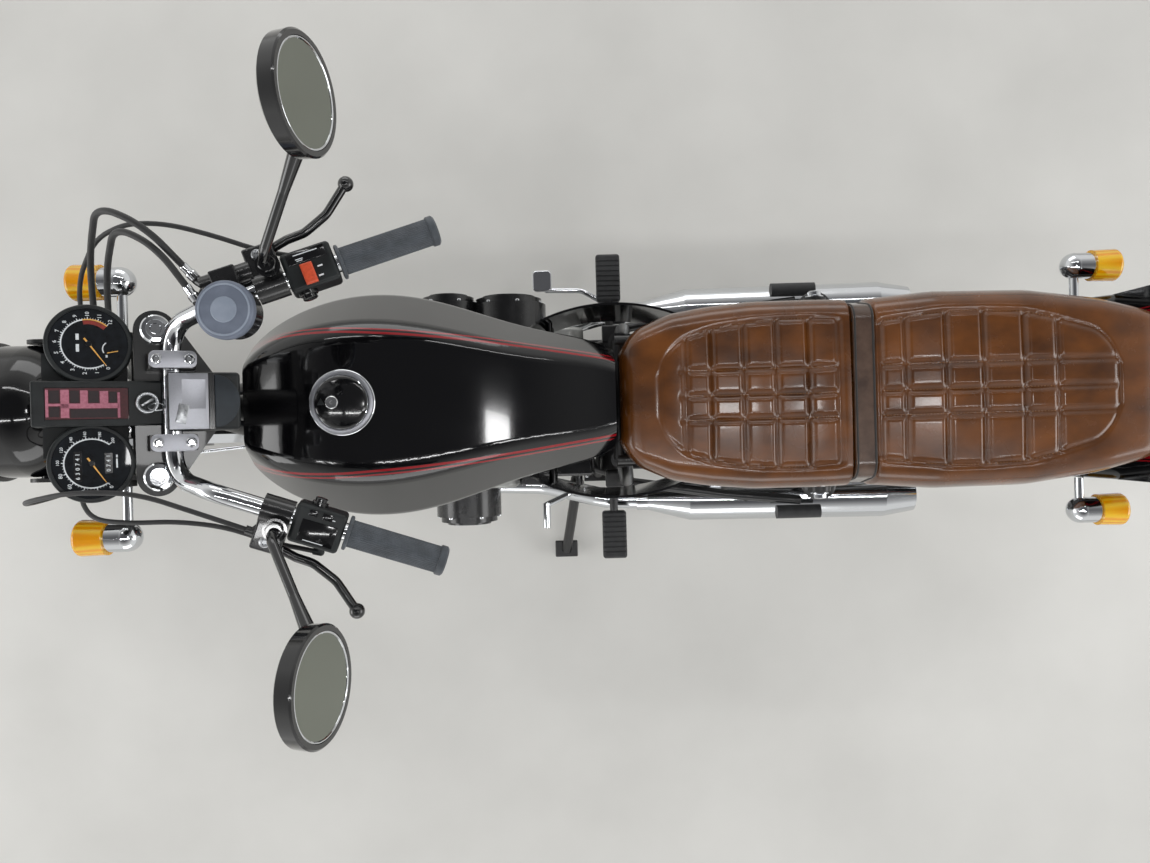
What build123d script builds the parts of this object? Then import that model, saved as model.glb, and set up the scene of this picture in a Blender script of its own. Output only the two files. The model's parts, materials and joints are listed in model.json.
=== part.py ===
# Standard roadster motorcycle standing on its centre stand, in millimetres
# +X is forward, +Y is the rider's left, +Z is up, and the origin is on the ground under its middle
from build123d import *
import math
import os

# Wheels, stance and steering head
WHEELBASE = 1400.0
FRONT_AXLE_X = 751.0
FRONT_TYRE_RADIUS = 309.0
FRONT_TYRE_WIDTH = 80.0
REAR_TYRE_RADIUS = 321.0
REAR_TYRE_WIDTH = 93.0
REAR_WHEEL_LIFT = 25.0
RAKE = 27.0
FORK_OFFSET = 55.0
FORK_HALF_SPACING = 90.0
RIM_RADIUS = 229.0
RIM_FLANGE = 11.0
SPOKES = 7
FRONT_HUB_HALF = 48.0
REAR_HUB_HALF = 66.0
FRONT_RIM_HALF = 27.0
REAR_RIM_HALF = 31.0
REAR_AXLE_RADIUS = 9.0
DISC_INNER_FACE = 52.0
DISC_THICKNESS = 5.0
DISC_RADIUS = 135.0
SPROCKET_RADIUS = 98.0
DRUM_RADIUS = 84.0

# Fork legs and yokes, measured up the fork from the front axle
STANCHION_RADIUS = 17.5
STANCHION_FOOT = 200.0
STANCHION_TOP = 822.0
SLIDER_RADIUS = 24.0
SLIDER_TOP = 330.0
LOWER_YOKE = (545.0, 577.0)
HEAD_TUBE = (578.0, 782.0)
UPPER_YOKE = (783.0, 807.0)
STEM_RADIUS = 14.0
HEAD_TUBE_RADIUS = 27.0
AXLE_RADIUS = 8.0
JUNCTION_TOP = 570.0
EAR_SLEEVE = (580.0, 700.0)
EAR_FACE = 94.0
EAR_THICKNESS = 5.0
CALIPER_HEIGHT = (58.0, 132.0)
CALIPER_FORWARD = (83.0, 140.0)
CALIPER_GAP = 7.5
CALIPER_CHEEK = 20.0
LUG_FACE = 78.0

# Handlebar, with its ends given on the left side
BAR_RADIUS = 11.1
BAR_FORWARD = 39.0
BAR_ABOVE_YOKE = 27.0
BAR_STRAIGHT = 92.0
BAR_BEND = (295.0, 109.0, 1083.0)
BAR_END = (38.0, 203.0, 1029.0)
GRIP_LENGTH = 121.0
GRIP_RADIUS = 16.5
CLAMP_Y = 49.0
CLAMP_WIDTH = 19.0
CLAMP_LENGTH = 54.0
SWITCH_SPAN = (GRIP_LENGTH + 3, 184.0)
PERCH_SPAN = (186.0, 222.0)
LEVER_X = 36.0
MIRROR_SEAT = 28.0

# Mirrors, reservoir, dials, headlamp and indicators
MIRROR_CENTRE = (131.0, 298.0, 1230.0)
MIRROR_TILT = 13.0
MIRROR_RADIUS = 62.5
MIRROR_BEZEL = 7.0
MIRROR_SIDE = 18.0
STALK_RADIUS = 6.0
RESERVOIR = (256.0, -97.0, 1096.0)
GAUGE_X = 127.0
GAUGE_Y = 71.0
GAUGE_FACE = 817.0
GAUGE_RADIUS = 47.0
PANEL_X = (48.0, 188.0)
HEADLAMP_X = 613.0
HEADLAMP_Z = 870.0
LENS_DOME = 12.0
INDICATOR_FRONT = (536.0, 181.0, 860.0)
INDICATOR_REAR = (-972.0, 198.0, 676.0)

# Tank, seat and tail
TANK_REAR = -190.0
CAP_X = 190.0
CAP_RADIUS = 46.0
TUNNEL_HALF = 28.0
SEAT_FRONT = -199.0
SEAT_BOTTOM = 700.0
SEAT_WAIST = 45.0
STRAP_X = -556.0
STRAP_WIDTH = 32.0
STRAP_TRENCH = 6.0
STRAP_SECTION = (140.0, 120.0)
COWL_FRONT = -880.0
COWL_BACK = -1006.0
COWL_HALVES = (138.0, 150.0, 118.0)
TAIL_REAR = -1048.0
LENGTH_REAR = -1060.0
PLATE_FACE = -1024.0
PLATE_SPACING = 120.0
PLATE_HOLE = 3.5

# Side covers: limits, and half widths at the rear, middle and front
COVER_X = (-330.0, -40.0)
COVER_Z = (478.0, 694.0)
COVER_MIDDLE = -130.0
COVER_HALVES = (122.0, 150.0, 112.0)
COVER_WALL = 4.0

# Frame and engine
TUBE_RADIUS = 14.0
RAIL_HALF_SPACING = 105.0
RAIL_HEIGHT = 185.0
SEAT_RAIL_RADIUS = 11.0
SEAT_RAIL_HALF_SPACING = 95.0
RAIL_REAR = -955.0
SWINGARM_PIVOT = (-200.0, 335.0)
SWINGARM_INNER = 100.0
SWINGARM_WIDTH = 26.0
CYLINDER_X = 130.0
FIN_COUNT = 8
FIN_PITCH = 14.0
FIN_THICKNESS = 4.0
CHAIN_Y = 75.0
MUFFLER_RADIUS = 45.0

# Stands
STAND_PIVOT = (-215.0, 235.0)
STAND_FOOT = (-180.0, 150.0)
SIDE_PIVOT = (-130.0, 165.0, 190.0)
SIDE_FOOT = (-102.0, 325.0, 35.0)
PIN_CLEARANCE = 0.06
SEAT_GAP = 0.3

# Chain line, shock absorbers, ports and exhaust
SPROCKET_X = -100.0
SPROCKET_Z = 345.0
PINION_RADIUS = 34.0
SHOCK_LOW = (-600.0, 372.0)
SHOCK_TOP = (-520.0, 688.7)
SHOCK_Y = 146.0
PORT_Y = 75.0
PORT_Z = 628.0
HEADER_RADIUS = 20.0
MUFFLER_START = (-262.0, 190.0, 297.0)
MUFFLER_END = (-800.0, 190.0, 335.0)
AIR_BOX_HALF = 92.0
CASE_CORNER = 30.0
CASE_EDGE = 7.0
GEAR_SHAFT = (-135.0, 312.0)
PEG_LINE = (-203.0, 333.0)
CHAIN_DEPTH = 14.0
CHAIN_WIDTH = 14.0

# Values that follow from the ones above
RAIL_LEVEL = SEAT_BOTTOM - SEAT_GAP - SEAT_RAIL_RADIUS
COWL_TRAY = SEAT_BOTTOM - 3
COWL_FLOOR = COWL_TRAY - 45
COWL_TOP = SEAT_BOTTOM + 122
PLATE_Z = COWL_FLOOR - 90
BAR_LEVEL = UPPER_YOKE[1] + BAR_ABOVE_YOKE
PIVOT_FACE = SWINGARM_INNER + SWINGARM_WIDTH + 0.2
REAR_AXLE_X = FRONT_AXLE_X - WHEELBASE
FRONT_AXLE_Z = FRONT_TYRE_RADIUS
REAR_AXLE_Z = REAR_TYRE_RADIUS + REAR_WHEEL_LIFT
RAKE_SIN = math.sin(math.radians(RAKE))
RAKE_COS = math.cos(math.radians(RAKE))
# The fork frame: local Z runs up the steering axis, local X forward, level with the front axle at zero
FORK = Plane(
    origin=(FRONT_AXLE_X - FORK_OFFSET * RAKE_COS, 0, FRONT_AXLE_Z - FORK_OFFSET * RAKE_SIN),
    x_dir=(RAKE_COS, 0, RAKE_SIN),
    z_dir=(-RAKE_SIN, 0, RAKE_COS),
)
BOTTOM = (Align.CENTER, Align.CENTER, Align.MIN)
SIDE_AXIS = Vector(0, 0.695, 0.719).normalized()


def rod(start, end, radius, bore=0.0):
    # Round bar or tube between two points
    first = Vector(*start)
    along = Vector(*end) - first
    shape = Cylinder(radius, along.length, align=BOTTOM)
    if bore > 0:
        shape -= Cylinder(bore, along.length, align=BOTTOM)
    return Plane(origin=first, z_dir=along) * shape


def pipe(points, radius, bends):
    # Round bar along straight runs joined by arcs
    path = FilletPolyline(*points, radius=bends)
    return sweep(Plane(origin=path @ 0, z_dir=path % 0) * Circle(radius), path=path)


def arc_radii(points, least):
    # Largest arcs that the runs of a route allow
    radii = []
    corners = [Vector(*point) for point in points]
    for before, corner, after in zip(corners, corners[1:], corners[2:]):
        turn = (corner - before).get_angle(after - corner)
        run = min((corner - before).length, (after - corner).length)
        radii.append(max(least, 0.45 * run / math.tan(math.radians(turn / 2))))
    return radii


def cable(points, radius):
    return pipe(points, radius, arc_radii(points, 3 * radius))


def block(x, y, z, edge=0.0):
    # Box from its limits on each axis, with its edges rounded
    shape = Box(x[1] - x[0], y[1] - y[0], z[1] - z[0])
    if edge > 0:
        shape = fillet(shape.edges(), edge)
    return Pos((x[0] + x[1]) / 2, (y[0] + y[1]) / 2, (z[0] + z[1]) / 2) * shape


def outline(points, bends):
    return FilletPolyline(*points, radius=bends, close=True)


def ferrule(anchor, route, radius):
    # Short metal end that holds the start of a cable and points along its first run
    start = Vector(*route[0])
    along = (Vector(*route[1]) - start).normalized()
    heel = start - along * 9
    return rod(tuple(heel), route[0], radius) + Pos(*heel) * Sphere(radius) + rod(anchor, tuple(heel), radius)


def on_fork(shape):
    return FORK.location * shape


def fork_point(x, y, z):
    return FORK.from_local_coords(Vector(x, y, z))


def mirrored(shape):
    return mirror(shape, about=Plane.XZ)


def both(shape):
    return [shape, mirrored(shape)]


def save(node, shapes):
    solids = [solid for shape in shapes for solid in shape.solids()]
    export_step(Compound(solids), f"parts/{node}.step")


# Wheels
def spoke(inner, outer, inner_size, outer_size):
    # Tapered cast spoke along +X with a pocket in each side
    ends = [
        Plane(origin=(inner, 0, 0), z_dir=(1, 0, 0)) * Rectangle(*inner_size),
        Plane(origin=(outer, 0, 0), z_dir=(1, 0, 0)) * Rectangle(*outer_size),
    ]
    return loft(ends)


def cast_wheel(half_hub, hub_radius, rim_half_width, bore):
    # Rim, spokes and hub as one casting about the Y axis
    floor = RIM_RADIUS - 18
    lip = RIM_RADIUS + RIM_FLANGE
    half = rim_half_width
    rim = revolve(make_face(Polyline(
        (floor, -half + 9), (RIM_RADIUS - 7, -half - 3.5), (lip, -half - 3.5), (lip, -half),
        (RIM_RADIUS, -half), (RIM_RADIUS, -half + 8), (floor + 7, -half + 18),
        (floor + 7, half - 18), (RIM_RADIUS, half - 8), (RIM_RADIUS, half), (lip, half),
        (lip, half + 3.5), (RIM_RADIUS - 7, half + 3.5), (floor, half - 9), close=True)), axis=Axis.Y)
    hub = Rot(90, 0, 0) * Cylinder(hub_radius, 2 * half_hub)
    wheel = rim + hub
    one = spoke(hub_radius - 6, floor + 4, (30, 46), (22, 30))
    pocket = Plane.XZ * (Pos((hub_radius + floor) / 2, 0) * SlotOverall(floor - hub_radius - 44, 13))
    for side in (-1, 1):
        one -= Pos(0, side * 16, 0) * extrude(pocket, 7, both=True)
    for turn in range(SPOKES):
        wheel += Rot(0, turn * 360 / SPOKES, 0) * one
    return wheel - Rot(90, 0, 0) * Cylinder(bore, 2 * half_hub + 2)


def tyre(radius, width, rim_half_width):
    # Road tyre section: beads on the rim, rounded walls and crown
    half = rim_half_width - SEAT_GAP
    bead = RIM_RADIUS + SEAT_GAP
    lip = RIM_RADIUS + RIM_FLANGE + 3
    middle = (lip + radius) / 2
    shoulder = (radius - 0.18 * (radius - lip), 0.36 * width)
    edge = [
        Line((bead, -half), (lip, -half)),
        ThreePointArc((lip, -half), (middle - 8, -width / 2), (shoulder[0], -shoulder[1])),
        ThreePointArc((shoulder[0], -shoulder[1]), (radius, 0), (shoulder[0], shoulder[1])),
        ThreePointArc((shoulder[0], shoulder[1]), (middle - 8, width / 2), (lip, half)),
        Line((lip, half), (bead, half)),
        Line((bead, half), (bead, -half)),
    ]
    return revolve(make_face(edge), axis=Axis.Y)


FRONT_CENTRE = Pos(FRONT_AXLE_X, 0, FRONT_AXLE_Z)
REAR_CENTRE = Pos(REAR_AXLE_X, 0, REAR_AXLE_Z)


def across(radius, low, high, bore=0.0):
    # Disc or ring about the Y axis between two distances across
    return rod((0, low, 0), (0, high, 0), radius, bore)


def make_front_wheel():
    wheel = cast_wheel(FRONT_HUB_HALF - 6, 30, FRONT_RIM_HALF, AXLE_RADIUS + PIN_CLEARANCE)
    for side in (-1, 1):
        low, high = sorted((side * (FRONT_HUB_HALF - 6), side * FRONT_HUB_HALF))
        wheel += across(52, low, high, AXLE_RADIUS + PIN_CLEARANCE)
    discs = []
    for side in (-1, 1):
        faces = sorted((side * FRONT_HUB_HALF, side * DISC_INNER_FACE))
        ring_faces = sorted((side * DISC_INNER_FACE, side * (DISC_INNER_FACE + DISC_THICKNESS)))
        disc = across(DISC_RADIUS, *ring_faces, 72) + across(80, *faces, 36)
        for turn in range(5):
            window = Rot(0, turn * 72, 0) * Pos(62, side * 50, 0) * (Rot(90, 0, 0) * Cylinder(7, 12))
            disc -= window
        discs.append(FRONT_CENTRE * disc)
    save("front_wheel", [FRONT_CENTRE * wheel])
    save("front_tyre", [FRONT_CENTRE * tyre(FRONT_TYRE_RADIUS, FRONT_TYRE_WIDTH, FRONT_RIM_HALF)])
    save("brake_discs", discs)


def make_rear_wheel():
    wheel = cast_wheel(REAR_HUB_HALF, 45, REAR_RIM_HALF, REAR_AXLE_RADIUS + PIN_CLEARANCE)
    bore = REAR_AXLE_RADIUS + PIN_CLEARANCE
    wheel += across(DRUM_RADIUS, -REAR_HUB_HALF, -22, bore)
    wheel += across(60, REAR_HUB_HALF, CHAIN_Y - 3.5, bore)
    wheel += across(SPROCKET_RADIUS, CHAIN_Y - 3.5, CHAIN_Y + 3.5, bore)
    save("rear_wheel", [REAR_CENTRE * wheel])
    save("rear_tyre", [REAR_CENTRE * tyre(REAR_TYRE_RADIUS, REAR_TYRE_WIDTH, REAR_RIM_HALF)])


# Front fork
def make_fork():
    tubes = []
    legs = []
    calipers = []
    disc_middle = DISC_INNER_FACE + DISC_THICKNESS / 2
    for side in (-1, 1):
        y = side * FORK_HALF_SPACING
        place = Pos(FORK_OFFSET, y, 0)
        tube = Cylinder(STANCHION_RADIUS, STANCHION_TOP - STANCHION_FOOT, align=BOTTOM)
        tube = Pos(0, 0, STANCHION_FOOT) * tube
        tube = chamfer(tube.edges().sort_by(Axis.Z)[-1], 4)
        tubes.append(on_fork(place * tube))
        leg = Pos(0, 0, -26) * Cylinder(SLIDER_RADIUS, SLIDER_TOP + 26, align=BOTTOM)
        leg += Pos(0, 0, SLIDER_TOP - 22) * Cylinder(SLIDER_RADIUS + 3, 22, align=BOTTOM)
        bore_depth = SLIDER_TOP - STANCHION_FOOT + 1
        leg -= Pos(0, 0, STANCHION_FOOT) * Cylinder(STANCHION_RADIUS + 0.1, bore_depth, align=BOTTOM)
        legs.append(place * leg)
        lug_y = sorted((side * LUG_FACE, side * (FORK_HALF_SPACING + 4)))
        for height in CALIPER_HEIGHT:
            middle = height + (12 if height == CALIPER_HEIGHT[0] else -12)
            legs.append(block((FORK_OFFSET + 4, FORK_OFFSET + 52), lug_y, (middle - 9, middle + 9)))
        cheeks = sorted((side * (disc_middle - CALIPER_GAP - CALIPER_CHEEK), side * LUG_FACE))
        caliper = block(CALIPER_FORWARD, cheeks, CALIPER_HEIGHT, 3)
        slot = Rot(90, 0, 0) * Cylinder(DISC_RADIUS + 5, 2 * CALIPER_GAP)
        calipers.append(on_fork(caliper - Pos(FORK_OFFSET, side * disc_middle, 0) * slot))
    axle_half = FORK_HALF_SPACING + SLIDER_RADIUS + 6
    axle = Pos(FORK_OFFSET, 0, 0) * across(AXLE_RADIUS, -axle_half, axle_half)
    fork = axle
    for leg in legs:
        fork += leg
    for side in (-1, 1):
        ends = sorted((side * (FRONT_HUB_HALF + 0.5), side * (FORK_HALF_SPACING - SLIDER_RADIUS + 3)))
        fork += Pos(FORK_OFFSET, 0, 0) * across(14, *ends)
    save("fork_tubes", tubes)
    save("fork_sliders", [on_fork(fork)])
    save("brake_calipers", calipers)


def yoke(limits, thickness_radius):
    # Plate round both fork tubes and the stem
    height = limits[1] - limits[0]
    rings = Pos(FORK_OFFSET, FORK_HALF_SPACING) * Circle(thickness_radius)
    rings += Pos(FORK_OFFSET, -FORK_HALF_SPACING) * Circle(thickness_radius)
    rings += Circle(30)
    plate = extrude(make_hull(rings.edges()), height)
    return Pos(0, 0, limits[0]) * plate


def make_yokes():
    upper = yoke(UPPER_YOKE, STANCHION_RADIUS + 7)
    lower = yoke(LOWER_YOKE, STANCHION_RADIUS + 7)
    lower += block((74, 98), (-34, 42), (LOWER_YOKE[0], JUNCTION_TOP), 2)
    for side in (-1, 1):
        clamp = block(
            (BAR_FORWARD - CLAMP_LENGTH / 2, BAR_FORWARD + CLAMP_LENGTH / 2),
            (side * CLAMP_Y - CLAMP_WIDTH / 2, side * CLAMP_Y + CLAMP_WIDTH / 2),
            (UPPER_YOKE[0] + 4, BAR_LEVEL + 19))
        clamp = fillet(clamp.edges().filter_by(Axis.Y).group_by(Axis.Z)[-1], 9)
        upper += clamp
    stem = Pos(0, 0, LOWER_YOKE[0]) * Cylinder(STEM_RADIUS, UPPER_YOKE[1] - LOWER_YOKE[0], align=BOTTOM)
    body = upper + lower + stem
    tube_bore = Cylinder(STANCHION_RADIUS + 0.1, 400, align=BOTTOM)
    for side in (-1, 1):
        body -= Pos(FORK_OFFSET, side * FORK_HALF_SPACING, 500) * tube_bore
    body -= Pos(BAR_FORWARD, 0, BAR_LEVEL) * (Rot(90, 0, 0) * Cylinder(BAR_RADIUS + 0.1, 200))
    pieces = [on_fork(body)]
    for side in (-1, 1):
        sleeve = Cylinder(STANCHION_RADIUS + 5, EAR_SLEEVE[1] - EAR_SLEEVE[0], align=BOTTOM)
        ear = on_fork(Pos(FORK_OFFSET, side * FORK_HALF_SPACING, EAR_SLEEVE[0]) * sleeve)
        faces = sorted((side * EAR_FACE, side * (EAR_FACE + EAR_THICKNESS)))
        plate = block((468, HEADLAMP_X + 20), faces, (HEADLAMP_Z - 25, HEADLAMP_Z + 25))
        ear += fillet(plate.edges().filter_by(Axis.Y).group_by(Axis.X)[-1], 20)
        boss_y = side * (EAR_FACE + 1)
        ear += rod((508, boss_y, 860), (508, boss_y + side * 14, 860), 13)
        ear -= on_fork(Pos(FORK_OFFSET, side * FORK_HALF_SPACING, 500) * tube_bore)
        pieces.append(ear)
    save("yokes", pieces)


# Handlebar and what is clamped to it
BAR_ALONG = Vector(*BAR_BEND) - Vector(*BAR_END)
# The left bar frame: local Z runs inwards from the bar's end, local X outwards, local Y up
LEFT_BAR = Plane(
    origin=BAR_END,
    x_dir=Vector(-BAR_ALONG.Y, BAR_ALONG.X, 0),
    z_dir=BAR_ALONG,
)


def on_bar(shape):
    return LEFT_BAR.location * shape


def bar_point(x, y, z):
    return tuple(LEFT_BAR.from_local_coords(Vector(x, y, z)))


def to_right(point):
    return (point[0], -point[1], point[2])


def make_handlebar():
    centre = fork_point(BAR_FORWARD, 0, BAR_LEVEL)
    left = [(centre.X, BAR_STRAIGHT, centre.Z), BAR_BEND, BAR_END]
    right = [(x, -y, z) for x, y, z in reversed(left)]
    save("handlebar", [pipe(right + left, BAR_RADIUS, [50, 42, 42, 50])])
    bore = Pos(0, 0, -50) * Cylinder(BAR_RADIUS + 0.1, 400, align=BOTTOM)
    grip = Pos(0, 0, -4) * Cylinder(GRIP_RADIUS, GRIP_LENGTH + 4, align=BOTTOM)
    grip += Pos(0, 0, GRIP_LENGTH - 5) * Cylinder(GRIP_RADIUS + 5, 5, align=BOTTOM)
    grip -= Cylinder(BAR_RADIUS + 0.1, GRIP_LENGTH + 1, align=BOTTOM)
    save("grips", both(on_bar(grip)))
    switch = block((-22, 26), (-17, 20), SWITCH_SPAN, 5) - bore
    left_switch = on_bar(switch) + ferrule(bar_point(16, -6, 150), LEFT_WIRE, 4.5)
    right_switch = mirrored(on_bar(switch)) + ferrule(to_right(bar_point(16, -8, 150)), RIGHT_WIRE, 4.5)
    save("switch_blocks", [left_switch, right_switch])


def make_levers():
    bore = Pos(0, 0, 150) * Cylinder(BAR_RADIUS + 0.1, 200, align=BOTTOM)
    perch = Pos(0, 0, PERCH_SPAN[0]) * Cylinder(18, PERCH_SPAN[1] - PERCH_SPAN[0], align=BOTTOM)
    perch += block((0, LEVER_X + 12), (-12, 12), PERCH_SPAN, 3)
    boss = Plane(origin=(16, 8, 198), z_dir=(0, 1, 0)) * Cylinder(10, MIRROR_SEAT - 8, align=BOTTOM)
    perch += boss
    slot = block((LEVER_X - 14, LEVER_X + 20), (-4.5, 4.5), (PERCH_SPAN[0] - 2, PERCH_SPAN[1] - 4))
    pivot = Plane(origin=(LEVER_X, -14, 206), z_dir=(0, 1, 0)) * Cylinder(4, 28, align=BOTTOM)
    perch = (perch - bore - slot) + pivot
    left_perch = on_bar(perch) + ferrule(bar_point(24, 2, 219), LEFT_CABLE, 5)
    cylinder = rod((22, 4, PERCH_SPAN[1] - 3), (22, 4, 278), 13)
    saddle = block((-14, 32), (12, 26), (234, 264), 2)
    master = on_bar(perch + cylinder + (saddle - bore))
    right_perch = mirrored(master)
    well = RESERVOIR
    right_perch += rod((well[0], well[1], well[2]), (well[0], well[1], well[2] + 34), 29)
    for route in (HOSE_A, HOSE_B):
        right_perch += ferrule(to_right(bar_point(22, 4, 272)), route, 6)
    save("lever_perches", [left_perch, right_perch])
    cap = rod((well[0], well[1], well[2] + 34), (well[0], well[1], well[2] + 44), 33)
    cap = fillet(cap.edges().sort_by(Axis.Z)[-1], 4)
    save("reservoir_cap", [cap])
    route = [(LEVER_X + 3, 0, 200), (46, 0, 168), (47, 0, 146), (60, 0, 114), (86, 0, 82)]
    lever = pipe(route, 5.5, [20, 30, 40])
    lever += block((LEVER_X - 9, LEVER_X + 9), (-4, 4), (194, 215), 2)
    lever += Pos(88, 0, 79) * Sphere(9.5)
    # Only the flat part of the lever goes into the slot of its perch
    lever -= block((20, 60), (4, 9), (184, 222)) + block((20, 60), (-9, -4), (184, 222))
    lever -= Plane(origin=(LEVER_X, -14, 206), z_dir=(0, 1, 0)) * Cylinder(4.1, 28, align=BOTTOM)
    save("hand_levers", both(on_bar(lever)))


def make_mirrors():
    tilt = math.radians(MIRROR_TILT)
    face = Plane(origin=MIRROR_CENTRE, x_dir=(0, 1, 0), z_dir=(-math.cos(tilt), 0, math.sin(tilt)))
    rim = MIRROR_RADIUS - MIRROR_BEZEL
    side_end = (MIRROR_RADIUS - 1, -MIRROR_SIDE)
    back = -MIRROR_SIDE - 13
    edge = [
        Line((0, -4), (rim, -4)),
        Line((rim, -4), (rim, 0)),
        Line((rim, 0), (MIRROR_RADIUS - 2, 0)),
        Line((MIRROR_RADIUS - 2, 0), (MIRROR_RADIUS, -2)),
        Line((MIRROR_RADIUS, -2), side_end),
        ThreePointArc(side_end, (rim * 0.88, back + 5), (0, back)),
        Line((0, back), (0, -4)),
    ]
    shell = revolve(Plane.XZ * make_face(edge), axis=Axis.Z)
    base = bar_point(16, MIRROR_SEAT + 4, 198)
    knee = (base[0] - 4, base[1] + 6, base[2] + 26)
    tip = Vector(145, 271, 1200)
    stalk = pipe([base, knee, tuple(tip)], STALK_RADIUS, [26])
    stalk += rod(bar_point(16, MIRROR_SEAT + 0.1, 198), bar_point(16, MIRROR_SEAT + 12, 198), 9)
    stalk += Plane(origin=tip, z_dir=Vector(*knee) - tip) * Cone(10, STALK_RADIUS, 72, align=BOTTOM)
    save("mirrors", both(face.location * shell + stalk))
    glass = Pos(0, 0, -3.8) * Cylinder(rim - 0.3, 2.4, align=BOTTOM)
    save("mirror_glass", both(face.location * glass))


# Routes of the hoses and cables, end to end, as straight runs joined by arcs
def at_yoke(y):
    # Last two points of a route that comes down into the top of the junction on the lower yoke
    return [tuple(fork_point(86, y, JUNCTION_TOP + 44)), tuple(fork_point(86, y, JUNCTION_TOP + 0.1))]


def at_headlamp(y):
    # Last two points of a route that goes straight into the back of the headlamp
    return [(HEADLAMP_X - 83, y, 890), (HEADLAMP_X - 53.1, y, 890)]


HOSE_A = [
    (312, -146, 1088), (345, -194, 1134), (405, -222, 1120), (462, -180, 1030),
    (500, -115, 950), (508, -62, 908), *at_yoke(-22)]
HOSE_B = [
    (307, -119, 1095), (336, -172, 1124), (394, -202, 1102), (447, -166, 1020),
    (484, -102, 944), (492, -44, 904), *at_yoke(0)]
LEFT_CABLE = [
    (262, 153, 1076), (310, 132, 1092), (378, 106, 1100), (455, 103, 1099), (527, 115, 1068),
    (562, 122, 1005), (545, 112, 940), (512, 74, 905), *at_yoke(28)]
RIGHT_WIRE = [
    (194, -172, 1040), (245, -180, 1046), (298, -198, 1058), (350, -212, 1064), (402, -216, 1056),
    (455, -205, 1028), (505, -160, 980), (525, -100, 930), *at_headlamp(-30)]
LEFT_WIRE = [
    (190, 184, 1050), (240, 174, 1044), (300, 153, 1040), (360, 145, 1039), (418, 146, 1036),
    (472, 142, 1020), (507, 118, 984), (520, 84, 944), (526, 52, 916), *at_headlamp(30)]


def make_cables():
    routes = [(HOSE_A, 4.0), (HOSE_B, 4.0), (LEFT_CABLE, 3.0), (RIGHT_WIRE, 3.0), (LEFT_WIRE, 3.0)]
    tubes = []
    for route, radius in routes:
        tubes.append(cable(route, radius))
    for side in (-1, 1):
        lower = [
            (90, side * 9, LOWER_YOKE[0] - 0.1), (90, side * 9, 505), (94, side * 40, 440),
            (100, side * 78, 360), (108, side * 92, 275), (113, side * 80, 205),
            (112, side * 70, 170), (112, side * 70, CALIPER_HEIGHT[1] + 0.1)]
        route = [tuple(fork_point(*point)) for point in lower]
        tubes.append(cable(route, 4.0))
    save("cables", tubes)


# Instruments, headlamp and indicators
def make_instruments():
    body = None
    faces = []
    for side in (-1, 1):
        place = Pos(GAUGE_X, side * GAUGE_Y, 0)
        cup = Pos(0, 0, GAUGE_FACE - 62) * Cylinder(GAUGE_RADIUS, 62, align=BOTTOM)
        cup = chamfer(cup.edges().sort_by(Axis.Z)[0], 14)
        cup = fillet(cup.edges().sort_by(Axis.Z)[-1], 3)
        cup -= Pos(0, 0, GAUGE_FACE - 4) * Cylinder(GAUGE_RADIUS - 5, 10, align=BOTTOM)
        body = place * cup if body is None else body + place * cup
        glass = Pos(0, 0, GAUGE_FACE - 3.8) * Cylinder(GAUGE_RADIUS - 5.3, 2.5, align=BOTTOM)
        faces.append(on_fork(place * glass))
    panel = block(PANEL_X, (-27, 27), (UPPER_YOKE[1] + 0.1, GAUGE_FACE + 3), 3)
    hood = block((PANEL_X[1] - 16, PANEL_X[1]), (-27, 27), (760, GAUGE_FACE), 3)
    bracket = block((86, 180), (-64, 64), (GAUGE_FACE - 62, GAUGE_FACE - 58))
    neck = block((82, 90), (-20, 20), (GAUGE_FACE - 62, GAUGE_FACE - 4))
    body += panel + hood + bracket + neck
    body -= block((86, 174), (-19, 19), (GAUGE_FACE, GAUGE_FACE + 8))
    lock = Pos(66, 0, GAUGE_FACE) * Cylinder(13, 11, align=BOTTOM)
    body += lock
    faces.append(on_fork(block((86.3, 173.7), (-18.7, 18.7), (GAUGE_FACE + 0.1, GAUGE_FACE + 2.5))))
    save("instruments", [on_fork(body)])
    save("instrument_faces", faces)
    cover = block((-36, 46), (-35, 35), (UPPER_YOKE[1], 864), 5)
    cover -= Pos(BAR_FORWARD, 0, BAR_LEVEL) * (Rot(90, 0, 0) * Cylinder(BAR_RADIUS + 0.2, 100))
    cover -= block((44.5, 90), (-60, 60), (800, 822))
    save("bar_cover", [on_fork(cover)])


def make_headlamp():
    place = Pos(HEADLAMP_X, 0, HEADLAMP_Z)
    edge = [
        Line((-53, 0), (-53, 36)),
        ThreePointArc((-53, 36), (-30, 76), (12, 92.5)),
        Line((12, 92.5), (58, 92.5)),
        Line((58, 92.5), (60, 97)),
        ThreePointArc((60, 97), (69, 97.5), (76, 92)),
        Line((76, 92), (76, 86)),
        Line((76, 86), (68, 86)),
        Line((68, 86), (68, 0)),
        Line((68, 0), (-53, 0)),
    ]
    bowl = place * revolve(Plane.XZ * make_face(edge), axis=Axis.X)
    for side in (-1, 1):
        ends = sorted((side * 84, side * EAR_FACE))
        bowl += rod((HEADLAMP_X, ends[0], HEADLAMP_Z), (HEADLAMP_X, ends[1], HEADLAMP_Z), 9)
    save("headlamp", [bowl])
    radius = 85.7
    ball = (radius ** 2 + LENS_DOME ** 2) / (2 * LENS_DOME)
    half_way = 75 + LENS_DOME - ball + math.sqrt(ball ** 2 - (radius / 2) ** 2)
    lens_edge = [
        Line((68.2, 0), (68.2, radius)),
        Line((68.2, radius), (75, radius)),
        ThreePointArc((75, radius), (half_way, radius / 2), (75 + LENS_DOME, 0)),
        Line((75 + LENS_DOME, 0), (68.2, 0)),
    ]
    save("headlamp_lens", [place * revolve(Plane.XZ * make_face(lens_edge), axis=Axis.X)])


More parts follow.
